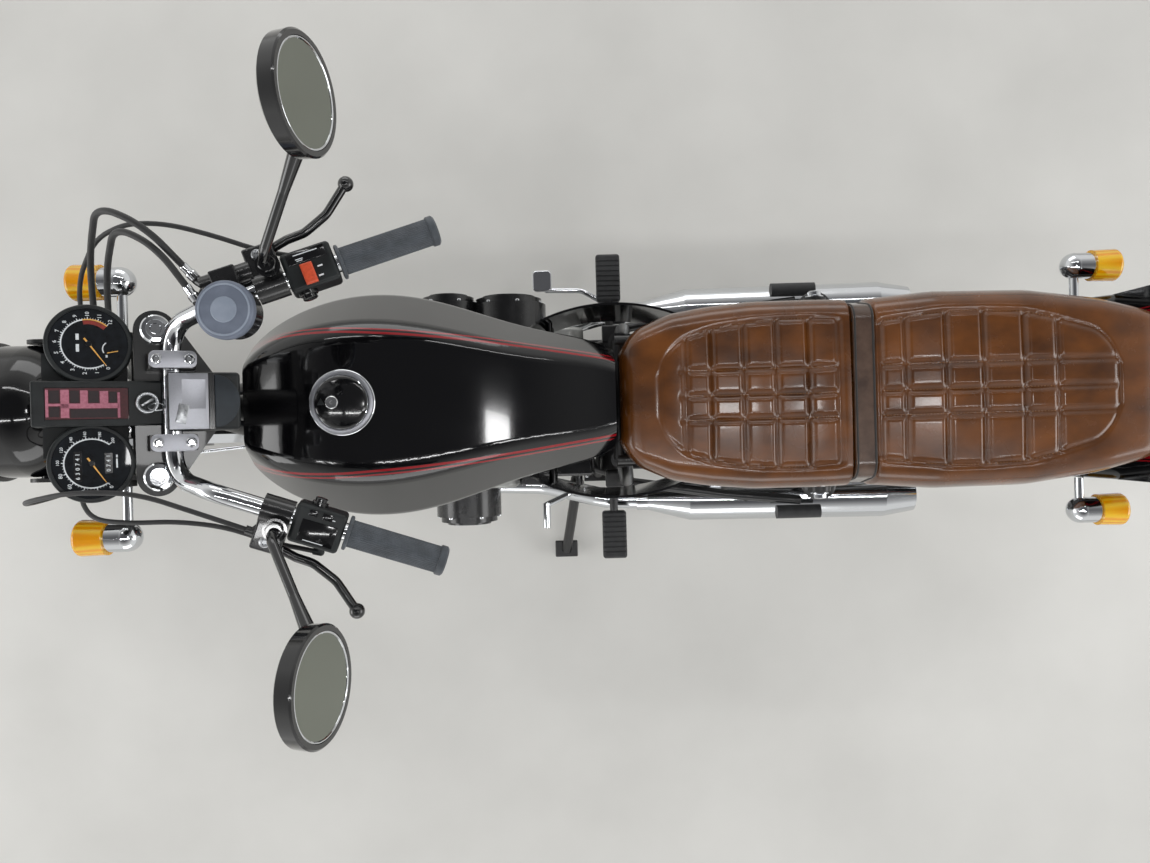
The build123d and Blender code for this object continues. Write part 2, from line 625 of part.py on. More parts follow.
def indicator(place, split):
    # Chrome body ahead of the split and an amber lens behind or ahead of it
    body = [
        Line((0, 0), (0, 21)),
        Line((0, 21), (-24, 21)),
        ThreePointArc((-24, 21), (-42, 14), (-47, 0)),
        Line((-47, 0), (0, 0)),
    ]
    lens = [
        Line((0.2, 0), (0.2, 25)),
        Line((0.2, 25), (36, 26)),
        ThreePointArc((36, 26), (41, 24), (43, 18)),
        Line((43, 18), (43, 0)),
        Line((43, 0), (0.2, 0)),
    ]
    turn = Rot(0, 0, 0) if split > 0 else Rot(0, 0, 180)
    solids = [revolve(Plane.XZ * make_face(edge), axis=Axis.X) for edge in (body, lens)]
    return [Pos(*place) * (turn * solid) for solid in solids]


def make_indicators():
    front_body, front_lens = indicator(INDICATOR_FRONT, 1)
    x, y, z = INDICATOR_FRONT
    front_body += rod((508, EAR_FACE + 15, z), (508, y - 12, z), 7)
    save("front_indicators", both(front_body))
    save("front_indicator_lenses", both(front_lens))
    rear_body, rear_lens = indicator(INDICATOR_REAR, -1)
    x, y, z = INDICATOR_REAR
    rear_body += rod((x + 27, 145, z), (x + 27, y - 12, z), 7)
    save("rear_indicators", both(rear_body))
    save("rear_indicator_lenses", both(rear_lens))


# Mudguards
def mudguard(radius, half_width, start, end):
    # Curved sheet about the Y axis from one angle to another, with turned-down edges
    crown = radius + 7
    section = [
        (radius, -half_width), (crown, -half_width + 16),
        (crown, half_width - 16), (radius, half_width)]
    inner = [(r - 2.5, y) for r, y in section]
    face = make_face(Polyline(*section, *reversed(inner), close=True))
    face = Rot(0, -end, 0) * face
    return revolve(face, axis=Axis.Y, revolution_arc=end - start)


def make_mudguards():
    front = FRONT_CENTRE * mudguard(FRONT_TYRE_RADIUS + 13, 52, 62, 196)
    for side in (-1, 1):
        wide = sorted((side * 49, side * 76))
        narrow = sorted((side * 49, side * 61))
        front += on_fork(block((FORK_OFFSET - 18, FORK_OFFSET + 18), wide, (264, 304)))
        front += on_fork(block((FORK_OFFSET - 18, FORK_OFFSET + 18), narrow, (300, 325)))
        foot = fork_point(FORK_OFFSET - 10, side * 78, 70)
        front += rod(tuple(foot), (FRONT_AXLE_X - 314, side * 50, FRONT_AXLE_Z - 72), 4)
        leg = Cylinder(SLIDER_RADIUS + 0.2, 400, align=BOTTOM)
        front -= on_fork(Pos(FORK_OFFSET, side * FORK_HALF_SPACING, -30) * leg)
    save("front_mudguard", [front])
    rear = REAR_CENTRE * mudguard(REAR_TYRE_RADIUS + 13, 62, 25, 160)
    for x, low in ((SHOCK_TOP[0] - 40, 666), (-800, 640)):
        rear += block((x - 9, x + 9), (-22, 22), (low, RAIL_LEVEL - 2))
        rear -= rod((x, -80, RAIL_LEVEL), (x, 80, RAIL_LEVEL), 9.2)
    rear -= REAR_CENTRE * across(REAR_TYRE_RADIUS + 10, -70, 70)
    save("rear_mudguard", [rear])


# Bodywork
def tank_section(x, half, top, waist, bottom):
    # Slice of the tank: flat top, shoulders, widest line and turned-in bottom
    points = [
        (-0.84 * half, bottom), (-half, waist), (-0.62 * half, top),
        (0.62 * half, top), (half, waist), (0.84 * half, bottom)]
    bends = [12, 0.24 * half, 0.24 * half, 0.24 * half, 0.24 * half, 12]
    return Plane(origin=(x, 0, 0), x_dir=(0, 1, 0), z_dir=(1, 0, 0)) * make_face(outline(points, bends))


# Tank slices: distance forward, half width, top, widest height, bottom
TANK_SLICES = [
    (346, 92, 846, 796, 752),
    (292, 137, 880, 786, 724),
    (222, 164, 897, 776, 710),
    (150, 171, 899, 768, 704),
    (40, 148, 888, 762, 702),
    (-80, 110, 862, 762, 706),
    (-190, 75, 828, 762, 722),
]


def make_tank():
    tank = loft([tank_section(*row) for row in TANK_SLICES])
    tank -= block((TANK_REAR - 20, 400), (-TUNNEL_HALF, TUNNEL_HALF), (600, 798))
    tank -= block((296, 400), (-TUNNEL_HALF, TUNNEL_HALF), (600, 824))
    tank -= Pos(CAP_X, 0, 890) * Cylinder(CAP_RADIUS + 0.2, 60, align=BOTTOM)
    save("fuel_tank", [tank])
    cap = Pos(CAP_X, 0, 890) * Cylinder(CAP_RADIUS, 12, align=BOTTOM)
    cap = fillet(cap.edges().sort_by(Axis.Z)[-1], 3)
    dome = [
        Line((0, 902), (0, 912)),
        RadiusArc((0, 912), (37, 905), 100),
        Line((37, 905), (37, 902)),
        Line((37, 902), (0, 902)),
    ]
    cap += Pos(CAP_X, 0, 0) * revolve(Plane.XZ * make_face(dome), axis=Axis.Z)
    save("fuel_cap", [cap])


def seat_section(x, half, height, grow=0.0):
    # Slice of the seat, with rounded top edges and sides that draw in below
    half = half + grow
    top = SEAT_BOTTOM + height + grow
    waist = SEAT_BOTTOM + SEAT_WAIST
    points = [
        (-0.93 * half, SEAT_BOTTOM), (-half, waist), (-0.9 * half, top),
        (0.9 * half, top), (half, waist), (0.93 * half, SEAT_BOTTOM)]
    bends = [8, 30, 26, 26, 30, 8]
    return Plane(origin=(x, 0, 0), x_dir=(0, 1, 0), z_dir=(1, 0, 0)) * make_face(outline(points, bends))


# Seat slices: distance forward, half width, height above the seat's underside
SEAT_SLICES = [
    (SEAT_FRONT, 66, 78),
    (-225, 104, 90),
    (-275, 127, 97),
    (-400, 144, 98),
    (-500, 144, 106),
    (STRAP_X, *STRAP_SECTION),
    (-665, 150, 138),
    (-800, 148, 142),
    (-900, 134, 142),
    (-996, 104, 132),
]


def make_seat():
    seat = loft([seat_section(*row) for row in SEAT_SLICES])
    start = STRAP_X - STRAP_WIDTH / 2
    end = STRAP_X + STRAP_WIDTH / 2
    band = block((start, end), (-200, 200), (SEAT_BOTTOM - 100, SEAT_BOTTOM + 200))
    core = extrude(seat_section(start, *STRAP_SECTION, -STRAP_TRENCH), STRAP_WIDTH)
    outer = extrude(seat_section(start + 0.5, *STRAP_SECTION, -1), STRAP_WIDTH - 1)
    inner = extrude(seat_section(start - 5, *STRAP_SECTION, SEAT_GAP - STRAP_TRENCH), STRAP_WIDTH + 10)
    seat = seat - (band - core)
    strap = outer - inner
    strap -= block((start - 50, end + 50), (-124, 124), (SEAT_BOTTOM - 100, SEAT_BOTTOM + 12))
    save("seat_cushion", [seat])
    save("seat_strap", [strap])


def cowl_section(x, half, low, high):
    points = [(-half, low), (half, low), (half, high), (-half, high)]
    bends = [20, 20, 20, 20]
    return Plane(origin=(x, 0, 0), x_dir=(0, 1, 0), z_dir=(1, 0, 0)) * make_face(outline(points, bends))


def make_tail():
    front_half, wide_half, rear_half = COWL_HALVES
    tray = loft([
        cowl_section(COWL_FRONT, front_half, COWL_FLOOR, COWL_TRAY),
        cowl_section(COWL_BACK, wide_half, COWL_FLOOR, COWL_TRAY)])
    back = loft([
        cowl_section(COWL_BACK, wide_half, COWL_FLOOR, COWL_TOP),
        cowl_section(TAIL_REAR, rear_half, COWL_FLOOR + 14, COWL_TOP - 22)])
    cowl = tray + back
    for side in (-1, 1):
        y = side * SEAT_RAIL_HALF_SPACING
        cowl -= rod((COWL_FRONT + 10, y, RAIL_LEVEL), (RAIL_REAR - 3, y, RAIL_LEVEL), SEAT_RAIL_RADIUS + 0.2)
    hanger = (PLATE_FACE, PLATE_FACE + 4)
    bracket = block(hanger, (-60, 60), (PLATE_Z, COWL_FLOOR + 8))
    bracket += block(hanger, (-88, 88), (PLATE_Z - 42, PLATE_Z + 42))
    for side in (-1, 1):
        y = side * PLATE_SPACING / 2
        bracket -= rod((PLATE_FACE - 6, y, PLATE_Z), (PLATE_FACE + 10, y, PLATE_Z), PLATE_HOLE)
    save("tail_cowl", [cowl + bracket])
    lamp = block((LENGTH_REAR, TAIL_REAR - 0.1), (-78, 78), (COWL_FLOOR + 48, COWL_FLOOR + 110), 5)
    save("tail_lamp", [lamp])


def make_side_covers():
    low, high = COVER_Z
    back, front = COVER_X
    rear_half, middle_half, front_half = COVER_HALVES
    inner = [half - COVER_WALL for half in COVER_HALVES]
    plan = [
        ThreePointArc((front, front_half), (COVER_MIDDLE, middle_half), (back, rear_half)),
        Line((back, rear_half), (back, inner[0])),
        ThreePointArc((back, inner[0]), (COVER_MIDDLE, inner[1]), (front, inner[2])),
        Line((front, inner[2]), (front, front_half)),
    ]
    sheet = Pos(0, 0, low) * extrude(make_face(plan), high - low)
    corners = [
        (back + 10, high), (front - 30, high), (front, high - 60),
        (front - 40, low), (back + 90, low), (back, low + 70)]
    side = Plane.XZ * make_face(outline(corners, [14, 24, 30, 24, 40, 30]))
    panel = sheet & extrude(side, 200, both=True)
    for x, z in ((-90, 630), (-90, 530)):
        panel += rod((x, AIR_BOX_HALF + 0.1, z), (x, 136, z), 6)
    save("side_covers", both(panel))


# Engine
def casting(x, y, z):
    # Block with large corners as seen from the side and soft edges round its faces
    shape = block(x, y, z)
    shape = fillet(shape.edges().filter_by(Axis.Y), CASE_CORNER)
    return fillet(shape.faces().filter_by(Axis.Y).edges(), CASE_EDGE)


def make_engine():
    cases = block((-150, 234), (-100, 100), (200, 282), 6)
    cases += casting((-20, 246), (-150, 150), (272, 470))
    cases += casting((-165, 20), (-118, 58), (274, 440))
    cases += casting((-150, 20), (-150, -80), (304, 440))
    cases += block((50, 210), (-118, 118), (440, 486), 4)
    pinion_faces = (CHAIN_Y - 3.5, CHAIN_Y + 3.5)
    cases += rod((SPROCKET_X, 50, SPROCKET_Z), (SPROCKET_X, CHAIN_Y + 8, SPROCKET_Z), 14)
    cases += rod(
        (SPROCKET_X, pinion_faces[0], SPROCKET_Z), (SPROCKET_X, pinion_faces[1], SPROCKET_Z), PINION_RADIUS)
    foot_heights = (RAIL_HEIGHT + TUBE_RADIUS + SEAT_GAP, 218)
    for side in (-1, 1):
        for x in (-74, 160):
            cases += block((x - 20, x + 20), sorted((side * 80, side * 112)), foot_heights, 2)
    save("engine_cases", [cases])
    covers = []
    # Round covers: side, distance forward, height, radius, outer face
    for side, x, z, radius, face in ((-1, 110, 392, 57, 221), (-1, -6, 378, 72, 217), (1, 80, 392, 62, 221)):
        cover = rod((x, side * 150.1, z), (x, side * (face - 16), z), radius)
        cover += rod((x, side * (face - 16), z), (x, side * (face - 5), z), radius - 8)
        cover += rod((x, side * (face - 5), z), (x, side * face, z), radius - 20)
        covers.append(cover)
    right = covers[0] + covers[1]
    guard = block((-165, -24), (92, 134), (290, 412), 8) - block((-190, -32), (90, 126), (276, 404))
    guard += block((-60, -20.1), (124, 150), (304, 400), 4)
    x, z = GEAR_SHAFT
    guard += rod((x, 120, z), (x, 157.9, z), 7)
    save("engine_covers", [right, covers[2], guard])


def make_cylinders():
    x = CYLINDER_X
    base = 486.1
    block_top = base + FIN_COUNT * FIN_PITCH + 2
    body = block((x - 52, x + 52), (-112, 112), (base, block_top), 0)
    for index in range(FIN_COUNT):
        low = base + 8 + index * FIN_PITCH
        reach = 66 if index > 0 else 60
        fin = block((x - reach, x + reach), (-130, 130), (low, low + FIN_THICKNESS))
        body += fillet(fin.edges().filter_by(Axis.Z), 16)
    head = block((x - 54, x + 54), (-114, 114), (block_top, block_top + 52))
    for index in range(3):
        low = block_top + 6 + index * FIN_PITCH
        fin = block((x - 64, x + 64), (-128, 128), (low, low + FIN_THICKNESS))
        head += fillet(fin.edges().filter_by(Axis.Z), 16)
    cover = block((x - 46, x + 46), (-104, 104), (block_top + 44, 688))
    cover = fillet(cover.edges().group_by(Axis.Z)[-1] + cover.edges().filter_by(Axis.Z), 9)
    head += cover
    for side in (-1, 1):
        head += rod((x + 50, side * PORT_Y, PORT_Z), (x + 72, side * PORT_Y, PORT_Z), 30)
        head += rod((x - 50, side * PORT_Y, PORT_Z), (x - 74, side * PORT_Y, PORT_Z), 24)
        head += rod((x, side * PORT_Y, 684), (x, side * PORT_Y, 692), 20)
    save("cylinders", [body + head])


def make_intake():
    x = CYLINDER_X - 74.1
    box = block((-180, -62), (-AIR_BOX_HALF, AIR_BOX_HALF), (500, 656), 10)
    for side in (-1, 1):
        y = side * PORT_Y
        box += rod((x, y, PORT_Z), (-70, y, PORT_Z), 21)
        box += rod((x - 18, y, PORT_Z), (x - 66, y, PORT_Z), 27)
        box += block((x - 60, x - 24), (y - 20, y + 20), (PORT_Z - 58, PORT_Z - 10), 5)
        box += rod((x - 42, y, PORT_Z), (x - 42, y, PORT_Z + 50), 23)
    box += rod((x - 42, -PORT_Y, PORT_Z - 14), (x - 42, PORT_Y, PORT_Z - 14), 6)
    save("intake", [box])


# Exhaust pipes and mufflers, one path on each side
def make_exhausts():
    start = (CYLINDER_X + 72.1, PORT_Y, PORT_Z)
    route = [
        start, (272, PORT_Y, PORT_Z), (345, 118, 520), (330, 134, 320), (262, 151, 232),
        (120, 152, 228), (-60, 158, 246), (-190, 188, 290), MUFFLER_START]
    header = pipe(route, HEADER_RADIUS, [50, 60, 70, 60, 100, 150, 150])
    front = Vector(*MUFFLER_START)
    along = (Vector(*MUFFLER_END) - front).normalized()
    length = (Vector(*MUFFLER_END) - front).length
    sleeve = HEADER_RADIUS + 3
    profile = Polyline(
        (0, -10), (sleeve, -10), (sleeve, 12), (MUFFLER_RADIUS, 96), (MUFFLER_RADIUS, length - 60),
        (34, length), (22, length), (22, length - 40), (0, length - 40), close=True)
    can = Plane(origin=front, z_dir=along) * revolve(Plane.XZ * make_face(profile), axis=Axis.Z)
    flange = rod(start, (start[0] + 8, start[1], start[2]), 29)
    save("exhausts", both(header + can + flange))


# Frame
def make_frame():
    y = RAIL_HALF_SPACING
    z = RAIL_HEIGHT
    rail_y = SEAT_RAIL_HALF_SPACING
    neck = fork_point(0, 0, HEAD_TUBE[0] + 60)
    frame = pipe([(neck.X, 0, neck.Z), (330, 0, 776), (-70, 0, 764), (-185, 0, 692)], 19, [60, 90])
    drop = Vector(*MUFFLER_START) + (Vector(*MUFFLER_END) - Vector(*MUFFLER_START)) * 0.36
    for side in (-1, 1):
        top = fork_point(-20, side * 12, HEAD_TUBE[0] + 44)
        cradle = [
            tuple(top), (318, side * 74, 470), (272, side * y, z), (-120, side * y, z),
            (-225, side * 142, 230), (-225, side * 142, 420), (-212, side * rail_y, 600),
            (-200, side * rail_y, RAIL_LEVEL - 4)]
        frame += pipe(cradle, TUBE_RADIUS, [120, 60, 40, 40, 60, 60])
        rail_start = (-196, side * rail_y, RAIL_LEVEL)
        frame += rod(rail_start, (RAIL_REAR, side * rail_y, RAIL_LEVEL), SEAT_RAIL_RADIUS)
        x, peg_z = PEG_LINE
        frame += block((x - 33, x + 15), sorted((side * PIVOT_FACE, side * 162)), (peg_z - 15, peg_z + 17), 4)
        frame += rod((x, side * 150, peg_z), (x, side * 302.5, peg_z), 8)
        frame += pipe([(-225, side * 148, 396), (-420, side * 178, 398), (-560, side * 192, 400)], 9, [300])
        frame += rod((drop.X, side * 186, 398), (drop.X, side * 186, drop.Z + MUFFLER_RADIUS + 0.7), 7)
        frame += block((-236, -174), sorted((side * 84, side * 93)), (203, 253), 3)
        stud_y = SHOCK_Y + 13
        frame += rod((SHOCK_TOP[0], side * rail_y, RAIL_LEVEL), (SHOCK_TOP[0], side * stud_y, RAIL_LEVEL), 9)
    for x in (-200, SHOCK_TOP[0] - 40, -800, -862):
        frame += rod((x, -rail_y, RAIL_LEVEL), (x, rail_y, RAIL_LEVEL), 9)
    frame += rod((262, -y, z + 10), (262, y, z + 10), 9)
    frame += rod((-183, -126, 216), (-183, 126, 216), 11)
    x, pivot_z = STAND_PIVOT
    frame += rod((x, -92, pivot_z), (x, 92, pivot_z), AXLE_RADIUS)
    # Blocks that carry the tank
    half = TUNNEL_HALF - 0.2
    frame += block((262, 282), (-half, half), (764, 797.8))
    frame += block((-160, -140), (-half, half), (700, 770))
    height = HEAD_TUBE[1] - HEAD_TUBE[0]
    frame += on_fork(Pos(0, 0, HEAD_TUBE[0]) * Cylinder(HEAD_TUBE_RADIUS, height, align=BOTTOM))
    bore = Cylinder(STEM_RADIUS + PIN_CLEARANCE, height + 2, align=BOTTOM)
    frame -= on_fork(Pos(0, 0, HEAD_TUBE[0] - 1) * bore)
    frame += rod(side_point(-20.5), side_point(-8.5), 13) + rod(side_point(-14), side_point(12), 6)
    frame += rod(side_point(8.5), side_point(12.5), 10)
    frame += rod((SIDE_PIVOT[0], y, z), side_point(-19), 9)
    save("frame", [frame])


def make_swingarm():
    px, pz = SWINGARM_PIVOT
    arm = None
    for side in (-1, 1):
        faces = sorted((side * SWINGARM_INNER, side * (SWINGARM_INNER + SWINGARM_WIDTH)))
        length = px - REAR_AXLE_X
        beam = block((REAR_AXLE_X - 34, px), faces, (pz - 20, pz + 20), 4)
        slope = math.degrees(math.atan2(REAR_AXLE_Z - pz, length))
        beam = Pos(px, 0, pz) * Rot(0, slope, 0) * Pos(-px, 0, -pz) * beam
        arm = beam if arm is None else arm + beam
    arm += rod((px, -SWINGARM_INNER - SWINGARM_WIDTH, pz), (px, SWINGARM_INNER + SWINGARM_WIDTH, pz), 22)
    axle_end = SWINGARM_INNER + SWINGARM_WIDTH + 14
    arm += rod((REAR_AXLE_X, -axle_end, REAR_AXLE_Z), (REAR_AXLE_X, axle_end, REAR_AXLE_Z), REAR_AXLE_RADIUS)
    arm += rod((REAR_AXLE_X, CHAIN_Y + 4, REAR_AXLE_Z), (REAR_AXLE_X, SWINGARM_INNER + 1, REAR_AXLE_Z), 16)
    for side in (-1, 1):
        arm += rod((SHOCK_LOW[0], side * 120, SHOCK_LOW[1]), (SHOCK_LOW[0], side * 158, SHOCK_LOW[1]), 8)
    save("swingarm", [arm])
    bore = REAR_AXLE_RADIUS + 0.1
    faces = (-SWINGARM_INNER + 0.1, -REAR_HUB_HALF - 2)
    plate = across(24, *faces, bore) + across(DRUM_RADIUS, faces[1] - 6, faces[1], bore)
    save("rear_brake_plate", [REAR_CENTRE * plate])


def make_shocks():
    low = Vector(SHOCK_LOW[0], SHOCK_Y, SHOCK_LOW[1])
    along = Vector(SHOCK_TOP[0], SHOCK_Y, SHOCK_TOP[1]) - low
    length = along.length
    points = [(0, 16), (19, 16), (19, 44), (29, 48)]
    coils = 9
    pitch = (length - 120) / coils
    for index in range(coils):
        z = 48 + index * pitch
        points += [(30, z + 0.3 * pitch), (23, z + 0.8 * pitch), (29, z + pitch)]
    points += [(24, length - 70), (24, length - 22), (12, length - 16), (0, length - 16)]
    body = revolve(Plane.XZ * make_face(Polyline(*points, close=True)), axis=Axis.Z)
    place = Plane(origin=low, x_dir=(0, 1, 0), z_dir=along)
    eyes = place * body
    for x, z in (SHOCK_LOW, SHOCK_TOP):
        eyes += rod((x, SHOCK_Y - 11, z), (x, SHOCK_Y + 11, z), 18)
    for (x, z), radius in ((SHOCK_LOW, 8.1), (SHOCK_TOP, 9.1)):
        eyes -= rod((x, SHOCK_Y - 12, z), (x, SHOCK_Y + 12, z), radius)
    save("rear_shocks", both(eyes))


def chain_loop(grow):
    # Loop round both sprockets, resting on the small one
    circles = Pos(SPROCKET_X, SPROCKET_Z) * Circle(PINION_RADIUS + SEAT_GAP + grow)
    circles += Pos(REAR_AXLE_X, REAR_AXLE_Z) * Circle(SPROCKET_RADIUS + 3 + grow)
    return make_hull(circles.edges())


def chain_band(inner, outer, width):
    # Strip between two loops, across the chain line
    band = chain_loop(outer) - chain_loop(inner)
    place = Plane(origin=(0, CHAIN_Y + width / 2, 0), x_dir=(1, 0, 0), z_dir=(0, -1, 0))
    return place * extrude(band, width)


def make_chain():
    save("chain", [chain_band(0, CHAIN_DEPTH, CHAIN_WIDTH)])
    guard = chain_band(CHAIN_DEPTH + 9, CHAIN_DEPTH + 12, 32) & block((-700, -260), (0, 200), (380, 600))
    guard += block((-420, -400), (88, SWINGARM_INNER - 0.1), (334, 441))
    save("chain_guard", [guard])


def make_pegs():
    x, z = PEG_LINE
    pegs = []
    for side in (-1, 1):
        rubber = block((x - 24, x + 24), sorted((side * 209, side * 304)), (z - 12, z + 12), 6)
        rubber -= rod((x, side * 200, z), (x, side * 303, z), 8.1)
        for index in range(8):
            y = side * (220 + index * 10)
            rubber -= block((x - 30, x + 30), (y - 1.6, y + 1.6), (z + 9, z + 20))
        pegs.append(rubber)
        pegs.append(rod((-598, side * 214.3, 400), (-514, side * 214.3, 400), 13))
    save("foot_pegs", pegs)


def make_foot_controls():
    x, z = PEG_LINE
    hub = rod((x, -203, z), (x, -193, z), 15, 8.1)
    arm = pipe([(x + 8, -198, z - 13), (-188, -216, 306), (-150, -239, 300), (-76, -240, 308)], 5.5, [12, 30])
    pad = block((-90, -51), (-279, -236), (312, 322))
    pad = fillet(pad.edges().filter_by(Axis.Z), 9)
    pad = fillet(pad.edges().group_by(Axis.Z)[-1], 3)
    shaft_x, shaft_z = GEAR_SHAFT
    lever = rod((shaft_x, 158, shaft_z), (shaft_x, 172, shaft_z), 12)
    lever += pipe([(shaft_x, 165, shaft_z), (-112, 176, 314), (-67, 195, 330)], 6, [40])
    lever += rod((-68, 191, 329), (-68, 240, 333), 8)
    save("foot_controls", [hub + arm + pad, lever])


# Stands
def side_point(distance):
    # Point on the side stand's pin, measured from its pivot
    return tuple(Vector(*SIDE_PIVOT) + SIDE_AXIS * distance)


def make_stands():
    x, z = STAND_PIVOT
    foot_x, foot_y = STAND_FOOT
    stand = rod((x, -80, z), (x, 80, z), 15)
    for side in (-1, 1):
        stand += pipe([(x, side * 64, z), (x + 8, side * 70, 168), (foot_x, side * foot_y, 14)], 12, [40])
        pad = block((foot_x - 32, foot_x + 32), (side * foot_y - 17, side * foot_y + 17), (0, 10), 2)
        stand += pad + rod((foot_x, side * foot_y, 5), (foot_x, side * foot_y, 22), 13)
    stand += rod((x + 14, -88, 128), (x + 14, 88, 128), 10)
    stand -= rod((x, -90, z), (x, 90, z), AXLE_RADIUS + PIN_CLEARANCE)
    save("centre_stand", [stand])
    pivot = Vector(*SIDE_PIVOT)
    foot = Vector(*SIDE_FOOT)
    along = (foot - pivot).normalized()
    leg = rod(tuple(pivot + along * 4), SIDE_FOOT, 11)
    leg += rod(side_point(-8), side_point(8), 16)
    leg -= rod(side_point(-20), side_point(20), 6 + PIN_CLEARANCE)
    leg -= rod(side_point(-30), side_point(-8), 30) + rod(side_point(8), side_point(30), 30)
    x, y, z = SIDE_FOOT
    pad = block((x - 26, x + 26), (y - 22, y + 16), (z - 9, z + 1), 3)
    save("side_stand", [leg + pad])


os.makedirs("parts", exist_ok=True)
make_front_wheel()
make_rear_wheel()
make_fork()
make_yokes()
make_handlebar()
make_levers()
make_mirrors()
make_cables()
make_instruments()
make_headlamp()
make_indicators()
make_mudguards()
make_tank()
make_seat()
make_tail()
make_side_covers()
make_engine()
make_cylinders()
make_intake()
make_exhausts()
make_frame()
make_swingarm()
make_shocks()
make_chain()
make_pegs()
make_foot_controls()
make_stands()
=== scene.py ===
import bpy
import json
import math
import numpy as np
from mathutils import Matrix, Vector

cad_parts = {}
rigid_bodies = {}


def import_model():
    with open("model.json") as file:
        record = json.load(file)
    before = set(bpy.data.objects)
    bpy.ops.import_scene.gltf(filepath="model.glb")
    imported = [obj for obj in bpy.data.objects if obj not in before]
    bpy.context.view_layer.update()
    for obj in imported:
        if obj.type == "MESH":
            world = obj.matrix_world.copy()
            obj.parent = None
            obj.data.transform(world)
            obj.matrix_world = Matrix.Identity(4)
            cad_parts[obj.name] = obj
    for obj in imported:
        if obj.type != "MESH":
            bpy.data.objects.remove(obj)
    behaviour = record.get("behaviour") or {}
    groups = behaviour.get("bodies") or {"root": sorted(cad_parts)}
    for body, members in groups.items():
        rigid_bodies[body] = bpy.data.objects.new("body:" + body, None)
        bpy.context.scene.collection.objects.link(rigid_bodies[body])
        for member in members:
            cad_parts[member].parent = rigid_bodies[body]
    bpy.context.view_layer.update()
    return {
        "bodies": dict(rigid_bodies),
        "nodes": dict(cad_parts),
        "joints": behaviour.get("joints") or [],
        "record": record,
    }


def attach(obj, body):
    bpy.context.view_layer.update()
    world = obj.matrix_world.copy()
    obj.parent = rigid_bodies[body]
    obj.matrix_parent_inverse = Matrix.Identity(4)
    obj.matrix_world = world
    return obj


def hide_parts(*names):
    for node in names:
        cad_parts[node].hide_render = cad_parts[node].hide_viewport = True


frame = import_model()
nodes = frame["nodes"]
mm = 0.001
print("frame loaded:", len(nodes), "CAD nodes")


# helpers
def deselectAll():
    if bpy.context.object and bpy.context.object.mode != "OBJECT":
        bpy.ops.object.mode_set(mode="OBJECT")
    for thing in list(bpy.context.selected_objects):
        thing.select_set(False)


def activate(piece):
    deselectAll()
    piece.select_set(True)
    bpy.context.view_layer.objects.active = piece


def current(name):  # the object that the last operator made, with its name
    piece = bpy.context.object
    piece.name = name
    piece.data.name = name
    return piece


def bakePlace(piece):  # location, turn and scale go into the mesh
    activate(piece)
    bpy.ops.object.transform_apply(location=True, rotation=True, scale=True)


def chooseFaces(piece, test):  # ends in edit mode with the faces that pass the test selected
    activate(piece)
    bpy.ops.object.mode_set(mode="EDIT")
    bpy.ops.mesh.select_mode(type="FACE")
    bpy.ops.mesh.select_all(action="DESELECT")
    bpy.ops.object.mode_set(mode="OBJECT")
    for face in piece.data.polygons:
        face.select = bool(test(face.center, face.normal))
    bpy.ops.object.mode_set(mode="EDIT")


def chooseEdges(piece, test):  # ends in edit mode with the edges whose direction passes the test selected
    activate(piece)
    bpy.ops.object.mode_set(mode="EDIT")
    bpy.ops.mesh.select_mode(type="EDGE")
    bpy.ops.mesh.select_all(action="DESELECT")
    bpy.ops.object.mode_set(mode="OBJECT")
    for edge in piece.data.edges:
        first, last = (piece.data.vertices[index].co for index in edge.vertices)
        edge.select = bool(test((last - first).normalized()))
    bpy.ops.object.mode_set(mode="EDIT")


def leaveEdit():
    bpy.ops.object.mode_set(mode="OBJECT")


def editAll(piece):  # ends in edit mode with the whole piece selected
    activate(piece)
    bpy.ops.object.mode_set(mode="EDIT")
    bpy.ops.mesh.select_all(action="SELECT")


def mendNormals(piece):  # doubles merged first, then every face points out
    editAll(piece)
    bpy.ops.mesh.remove_doubles(threshold=0.02 * mm)
    bpy.ops.mesh.normals_make_consistent(inside=False)
    leaveEdit()


def applyAll(piece):
    activate(piece)
    for modifier in list(piece.modifiers):
        bpy.ops.object.modifier_apply(modifier=modifier.name)


def bevelAll(piece, width, segments=2, angle=35):
    bevel = piece.modifiers.new("roundedEdge", "BEVEL")
    bevel.width = width
    bevel.segments = segments
    bevel.limit_method = "ANGLE"
    bevel.angle_limit = math.radians(angle)
    applyAll(piece)


def smooth(piece, angle=35):
    activate(piece)
    bpy.ops.object.shade_smooth_by_angle(angle=math.radians(angle))


def put(piece, matrix):  # moves the mesh itself; the object stays at the origin
    piece.data.transform(matrix)
    if matrix.to_3x3().determinant() < 0:
        mendNormals(piece)
    return piece


def copyTo(piece, matrix, name):
    twin = piece.copy()
    twin.data = piece.data.copy()
    twin.name = name
    bpy.context.scene.collection.objects.link(twin)
    return put(twin, matrix)


def join(pieces, name):
    deselectAll()
    for piece in pieces:
        piece.select_set(True)
    bpy.context.view_layer.objects.active = pieces[0]
    if len(pieces) > 1:
        bpy.ops.object.join()
    return current(name)


def dress(piece, finish):
    piece.data.materials.clear()
    piece.data.materials.append(finish)


def fit(piece, finish, body, angle=None, stands=()):
    # shades a piece smooth up to an angle, dresses it, hangs it on its body and hides the nodes it replaces
    if angle:
        smooth(piece, angle)
    dress(piece, material[finish])
    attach(piece, body)
    if stands:
        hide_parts(*stands)
    return piece


def axes(origin, xAxis, zAxis):  # matrix of a place with z along zAxis and x near xAxis, origin in mm
    z = Vector(zAxis).normalized()
    x = Vector(xAxis)
    x = (x - x.dot(z) * z).normalized()
    y = z.cross(x)
    turn = Matrix((x, y, z)).transposed().to_4x4()
    return Matrix.Translation(Vector(origin) * mm) @ turn


